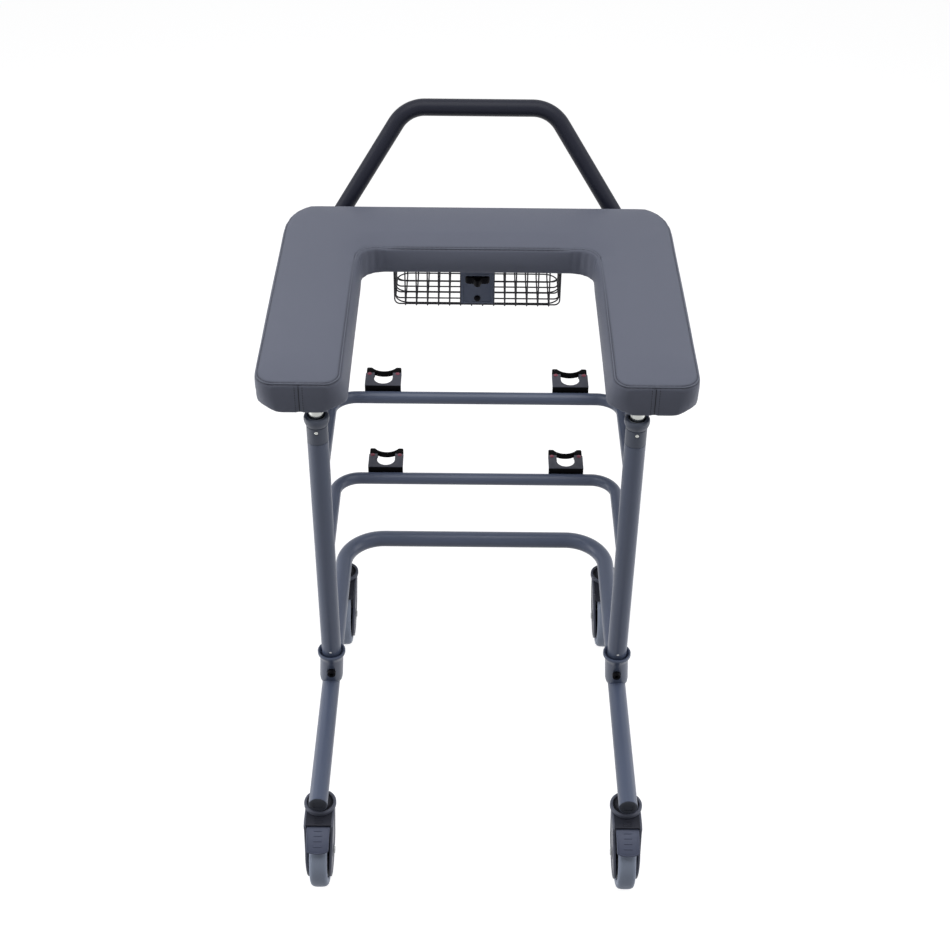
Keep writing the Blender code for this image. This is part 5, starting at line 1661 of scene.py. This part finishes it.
def cushion_mesh():
    """The stuffed U: panels that swell between the welt round its top and its flat underside."""
    low, edge = PAD_BOTTOM, PAD_BOTTOM + PAD_SIDE
    blank = loft("cushion", [
        (0.0065, low, 0.010),
        (0.0030, low + 0.003, 0.008),
        (0.0022, low + 0.016, 0.003),
        (0.0022, low + 0.036, 0.0),
        (0.0030, edge - 0.006, 0.0),
        (SEAM_INSET, SEAM_Z, 0.0),
        (0.0085, edge + 0.0004, 0.0),
        (0.047, edge + 0.0012, 0.0),
        (0.064, edge + 0.0014, 0.0),
    ])
    blank = modified(blank, "REMESH", mode="VOXEL", voxel_size=VOXEL, adaptivity=0.0)
    blank = modified(blank, "SMOOTH", factor=0.5, iterations=3)
    rim = nearest_tree([(x, y, SEAM_Z) for x, y in dense(u_outline(SEAM_INSET, 24), 0.003)])
    held = [vertex.index for vertex in blank.vertices
            if vertex.co.z < PAD_BOTTOM + 0.002 or rim.find(vertex.co)[2] < HELD_REACH]
    blank = stuffed(blank, held, PRESSURE, SWELL_LIMIT)
    return modified(blank, "SUBSURF", levels=1, render_levels=1)


def eased_share(value):
    """0 below 0, 1 above 1, and a smooth rise between."""
    value = max(0.0, min(1.0, value))
    return value * value * (3 - 2 * value)


def fall(value, span):
    """1 up to 0, and a smooth fall to 0 at span."""
    return 1 - eased_share(value / span)


def settled(place, rim):
    """Where a point of the evenly stuffed pad lies once it is in use."""
    side = 1 if place.x > 0 else -1
    across, along = abs(place.x), place.y
    height = max(0.0, min(1.0, (place.z - PAD_BOTTOM) / PAD_SIDE))
    back = 0.0
    beside = fall(along - PAD_GAP_FAR_Y + LEAN_ALONG, LEAN_ALONG)
    shift = (GAP_LEAN * height - GAP_BULGE) * beside * fall(across - PAD_GAP_HALF, LEAN_ACROSS)
    between = fall(across - PAD_GAP_HALF + ROLL_START, ROLL_ACROSS)
    rise = -BAR_ROLL * height * between * fall(along - PAD_GAP_FAR_Y, ROLL_ALONG)
    rise -= END_SINK * height * fall(along - PAD_NEAR_Y, END_LENGTH)
    low = (1 - height) ** 2
    for corner, inwards, reach in LOW_CORNERS:
        near = max(0.0, 1 - abs(across - corner) / reach) * max(0.0, 1 - (along - PAD_NEAR_Y) / reach)
        shift += inwards * CORNER_IN * near * low
        back += CORNER_BACK * near * low
        rise += CORNER_UP * near * low
    hang = fall(rim.find((place.x, place.y, 0))[2] - HANG_START, HANG_WIDTH)
    rise -= RIM_HANG * hang * max(0.0, 1 - height / 0.4)
    return Vector((place.x + side * shift, along + back, place.z + rise))


def welt_points(surface):
    """The run of the welt: where the pad's surface turns over its top edge."""
    plan = dense(u_outline(SEAM_INSET, 24), 0.004)
    points = []
    for before, point, after in zip(plan[-1:] + plan[:-1], plan, plan[1:] + plan[:1]):
        along = (after - before).normalized()
        aim = Vector((along.y, -along.x, 1.0)).normalized()
        start = Vector((point.x, point.y, SEAM_Z)) + aim * 0.02
        hit = surface.ray_cast(start, -aim, 0.06)[0]
        points.append((hit or start - aim * 0.02, aim))
    return points


def gathered(place, height):
    """How near a point is to one of the gap's far corners, and how deep the cover is drawn in there."""
    across = abs(place.x) - PAD_GAP_HALF + PAD_GAP_FAR_CORNER
    along = place.y - PAD_GAP_FAR_Y + PAD_GAP_FAR_CORNER
    beyond, angle = sqrt(across ** 2 + along ** 2) - PAD_GAP_FAR_CORNER, atan2(along, across)
    if beyond >= CORNER_REACH or not -FAN < angle < pi / 2 + FAN:
        return 0.0, 0.0
    share = 1 - max(0.0, abs(angle - pi / 4) - pi / 4) / FAN
    if height < PAD_SIDE - 0.002 and abs(beyond) < GATHER_BAND:
        middle = sin(pi * max(0.0, min(1.0, height / PAD_SIDE)))
        return share, GATHER_DEPTH * share * middle * cos(GATHERS * angle)
    if height > PAD_SIDE - 0.004:
        near = max(0.0, 1 - abs(beyond) / CORNER_REACH)
        return share, CORNER_DIP * share * near * near
    return share, 0.0


def sewn(cushion, welt, rim):
    """Draws the surface in along the seams, gathers the gap's corners and lets the board in underneath.
    Stores how much painted shade darkens each point along the seams.
    """
    seam = nearest_tree([point for point, _ in welt])
    arm_middle = (PAD_HALF_WIDTH + PAD_GAP_HALF) / 2
    cushion.update()
    normals = [vertex.normal.copy() for vertex in cushion.vertices]
    seam_shades = []
    for vertex, normal in zip(cushion.vertices, normals):
        place = vertex.co
        height = place.z - PAD_BOTTOM
        draw = exp(-(seam.find(place)[2] / SEAM_SPAN) ** 2)
        share, dip = gathered(place, height)
        depth = SEAM_DRAW * draw + dip
        if place.y < PAD_NEAR_Y + 0.012 and height < PAD_SIDE:
            depth += END_SEAM_DEPTH * exp(-((abs(place.x) - arm_middle) / END_SEAM_SPAN) ** 2)
        # Painted shade along the seams, less in the gathered corners and little where the welt sinks at the
        # gap's far corners
        seam_shades.append(draw * (1 - 0.3 * share) * (1 - 0.8 * near_gap_corner(place)))
        inside = rim.find((place.x, place.y, 0))[2] > BOARD_EDGE
        under = inside and height < 0.0022 and normal.z < -0.5
        place = settled(place - normal * depth, rim)
        vertex.co = (place.x, place.y, RECESS_TOP) if under else place
    seam_shade = cushion.attributes.new("seam_shade", "FLOAT", "POINT")
    seam_shade.data.foreach_set("value", seam_shades)
    cushion.update()
    cushion.shade_smooth()
    return cushion


def end_seams(surface):
    """The upright seam in the middle of each near end, with a row of stitches on either side. The seam's
    groove holds a dark cord of thread colour: painted shade.
    """
    shaded_seam_runs, rows = [], []
    low, high = PAD_BOTTOM + 0.0025, SEAM_Z - 0.0068
    for sign in (-1, 1):
        middle = sign * (PAD_HALF_WIDTH + PAD_GAP_HALF) / 2
        for offset, runs in ((0.0, shaded_seam_runs), (-STITCH_ROW, rows), (STITCH_ROW, rows)):
            run = []
            for step in range(19):
                start = Vector((middle + offset, PAD_NEAR_Y - 0.03, low + (high - low) * step / 18))
                hit = surface.ray_cast(start, Vector((0, 1, 0)), 0.06)[0]
                if hit:
                    run.append(hit)
            runs.append(run)
    # A dark cord along the seam's groove: painted shade
    seam = grown("seam", TUBE, lines_mesh("seam", shaded_seam_runs), THREAD, Radius=0.0006, Sides=12)
    mesh = lines_mesh("rows", rows)
    stitches = grown("stitches", STITCHES, mesh, THREAD, Pitch=0.0046, Length=0.0034, Radius=0.00042)
    return merged(stitches, seam)


def near_gap_corner(point):
    """1 in the gap's far corners, where the welt sinks into the cover, fading to 0 along the edges."""
    across = max(PAD_GAP_HALF - abs(point.x), abs(point.x) - PAD_GAP_HALF, 0)
    along = max(PAD_GAP_FAR_Y - point.y, 0) * 0.35
    beyond = max(point.y - PAD_GAP_FAR_Y, 0)
    return fall(sqrt(across ** 2 + along ** 2 + beyond ** 2) - WELT_CORNER, WELT_FADE)


def make_pad():
    cushion = cushion_mesh()
    rim = nearest_tree([(x, y, 0) for x, y in dense(u_outline(0.0, 24), 0.002)])
    welt = welt_points(finder(cushion))
    cushion = sewn(cushion, welt, rim)
    path = []
    for point, aim in welt:
        sink = WELT_SINK + WELT_CORNER_SINK * near_gap_corner(point)
        path.append(settled(point - aim * sink, rim))
    cord = grown("welt", TUBE, lines_mesh("welt", [path], closed=True), WELT, Radius=WELT_RADIUS, Sides=12)
    stitches = end_seams(finder(cushion))
    item = piece("cushion", cushion, "armrest", VINYL, ["pad_cushion"])
    piece("cushion_welt", cord, "armrest", WELT)
    piece("cushion_stitches", stitches, "armrest", THREAD)


def make_board():
    """The plywood board let into the pad's underside, with round outer and near corners."""
    plan = u_outline(BOARD_INSET + 0.002, softening=0.030)
    board = slab("board", plan, PAD_BOTTOM + 0.0006, BOARD_TOP, edge=0.0008)
    piece("board_skin", board, "armrest", PLYWOOD, ["pad_board"])


# Stage, light and camera

FLOOR_GREY = (0.34, 0.34, 0.35, 1)
FLOOR_GLOW = 0.90
ROOM_LIGHT = 0.13
WHITE = (1, 1, 1, 1)
# Name, place, target, size and power of each lamp
SOFTBOXES = [
    ("overhead_softbox", (0.0, -0.25, 3.4), (0, -0.1, 0), (3.0, 2.4), 53),
    ("left_softbox", (-2.8, 0.1, 1.5), (0, 0, 0.4), (1.4, 2.4), 28),
    ("right_softbox", (2.8, 0.1, 1.5), (0, 0, 0.4), (1.4, 2.4), 20),
    ("low_left_softbox", (-1.3, -0.3, 0.25), (0, -0.3, 0.2), (1.8, 0.4), 3.8),
    ("low_right_softbox", (1.3, -0.3, 0.25), (0, -0.3, 0.2), (1.8, 0.4), 2.8),
]


def backdrop_rays(tree):
    """1 for the rays that see the white backdrop: the camera's, and those in metal, gloss and glass."""
    paths = add_node(tree, "ShaderNodeLightPath")
    seen = paths.outputs["Is Camera Ray"]
    for kind in ("Is Glossy Ray", "Is Transmission Ray"):
        either = add_node(tree, "ShaderNodeMath", {0: seen, 1: paths.outputs[kind]}, operation="MAXIMUM")
        seen = either.outputs[0]
    return seen


def make_stage():
    mesh = bpy.data.meshes.new("floor")
    mesh.from_pydata([(-8, -6, 0), (8, -6, 0), (8, 10, 0), (-8, 10, 0)], [], [(0, 1, 2, 3)])
    floor = new_object("floor", mesh)
    material = bpy.data.materials.new("floor_white")
    material.use_nodes = True
    tree = material.node_tree
    tree.nodes.clear()
    diffuse = add_node(tree, "ShaderNodeBsdfDiffuse", {"Color": FLOOR_GREY})
    glow = add_node(tree, "ShaderNodeEmission", {"Color": WHITE, "Strength": FLOOR_GLOW})
    none = add_node(tree, "ShaderNodeEmission", {"Color": (0, 0, 0, 1), "Strength": 0.0})
    wires = {0: backdrop_rays(tree), 1: none.outputs[0], 2: glow.outputs[0]}
    shown = add_node(tree, "ShaderNodeMixShader", wires)
    total = add_node(tree, "ShaderNodeAddShader", {0: diffuse.outputs[0], 1: shown.outputs[0]})
    add_node(tree, "ShaderNodeOutputMaterial", {"Surface": total.outputs[0]})
    mesh.materials.append(material)


def make_world():
    world = bpy.data.worlds.new("studio")
    bpy.context.scene.world = world
    world.use_nodes = True
    tree = world.node_tree
    tree.nodes.clear()
    light = add_node(tree, "ShaderNodeBackground", {"Color": WHITE, "Strength": ROOM_LIGHT})
    backdrop = add_node(tree, "ShaderNodeBackground", {"Color": WHITE, "Strength": 1.0})
    wires = {0: backdrop_rays(tree), 1: light.outputs[0], 2: backdrop.outputs[0]}
    mixed = add_node(tree, "ShaderNodeMixShader", wires)
    add_node(tree, "ShaderNodeOutputWorld", {"Surface": mixed.outputs[0]})


def softbox(name, place, target, size, power):
    lamp = bpy.data.lights.new(name, "AREA")
    lamp.shape = "RECTANGLE"
    lamp.size, lamp.size_y = size
    lamp.energy = power
    item = new_object(name, lamp)
    item.location = place
    item.visible_camera = False
    item.rotation_euler = (Vector(target) - Vector(place)).to_track_quat("-Z", "Y").to_euler()


def make_lights():
    for lamp in SOFTBOXES:
        softbox(*lamp)


def make_camera():
    data = bpy.data.cameras.new("camera")
    data.lens = CAMERA_LENS
    data.sensor_width = 36
    data.clip_end = 50
    camera = new_object("camera", data)
    camera.location = CAMERA_PLACE
    tilt = Matrix.Rotation(pi / 2 - radians(CAMERA_PITCH), 3, "X")
    roll = Matrix.Rotation(radians(CAMERA_ROLL), 3, "Z")
    yaw = Matrix.Rotation(radians(CAMERA_YAW), 3, "Z")
    camera.rotation_euler = (yaw @ tilt @ roll).to_euler()
    bpy.context.scene.camera = camera


bpy.context.scene.view_settings.view_transform = "Standard"
make_camera()
make_stage()
make_world()
make_lights()
make_base()
make_sockets()
make_posts()
make_rails()
make_clips()
make_casters()
make_plate()
make_handle()
make_basket()
make_bracket()
make_knob()
make_board()
make_pad()
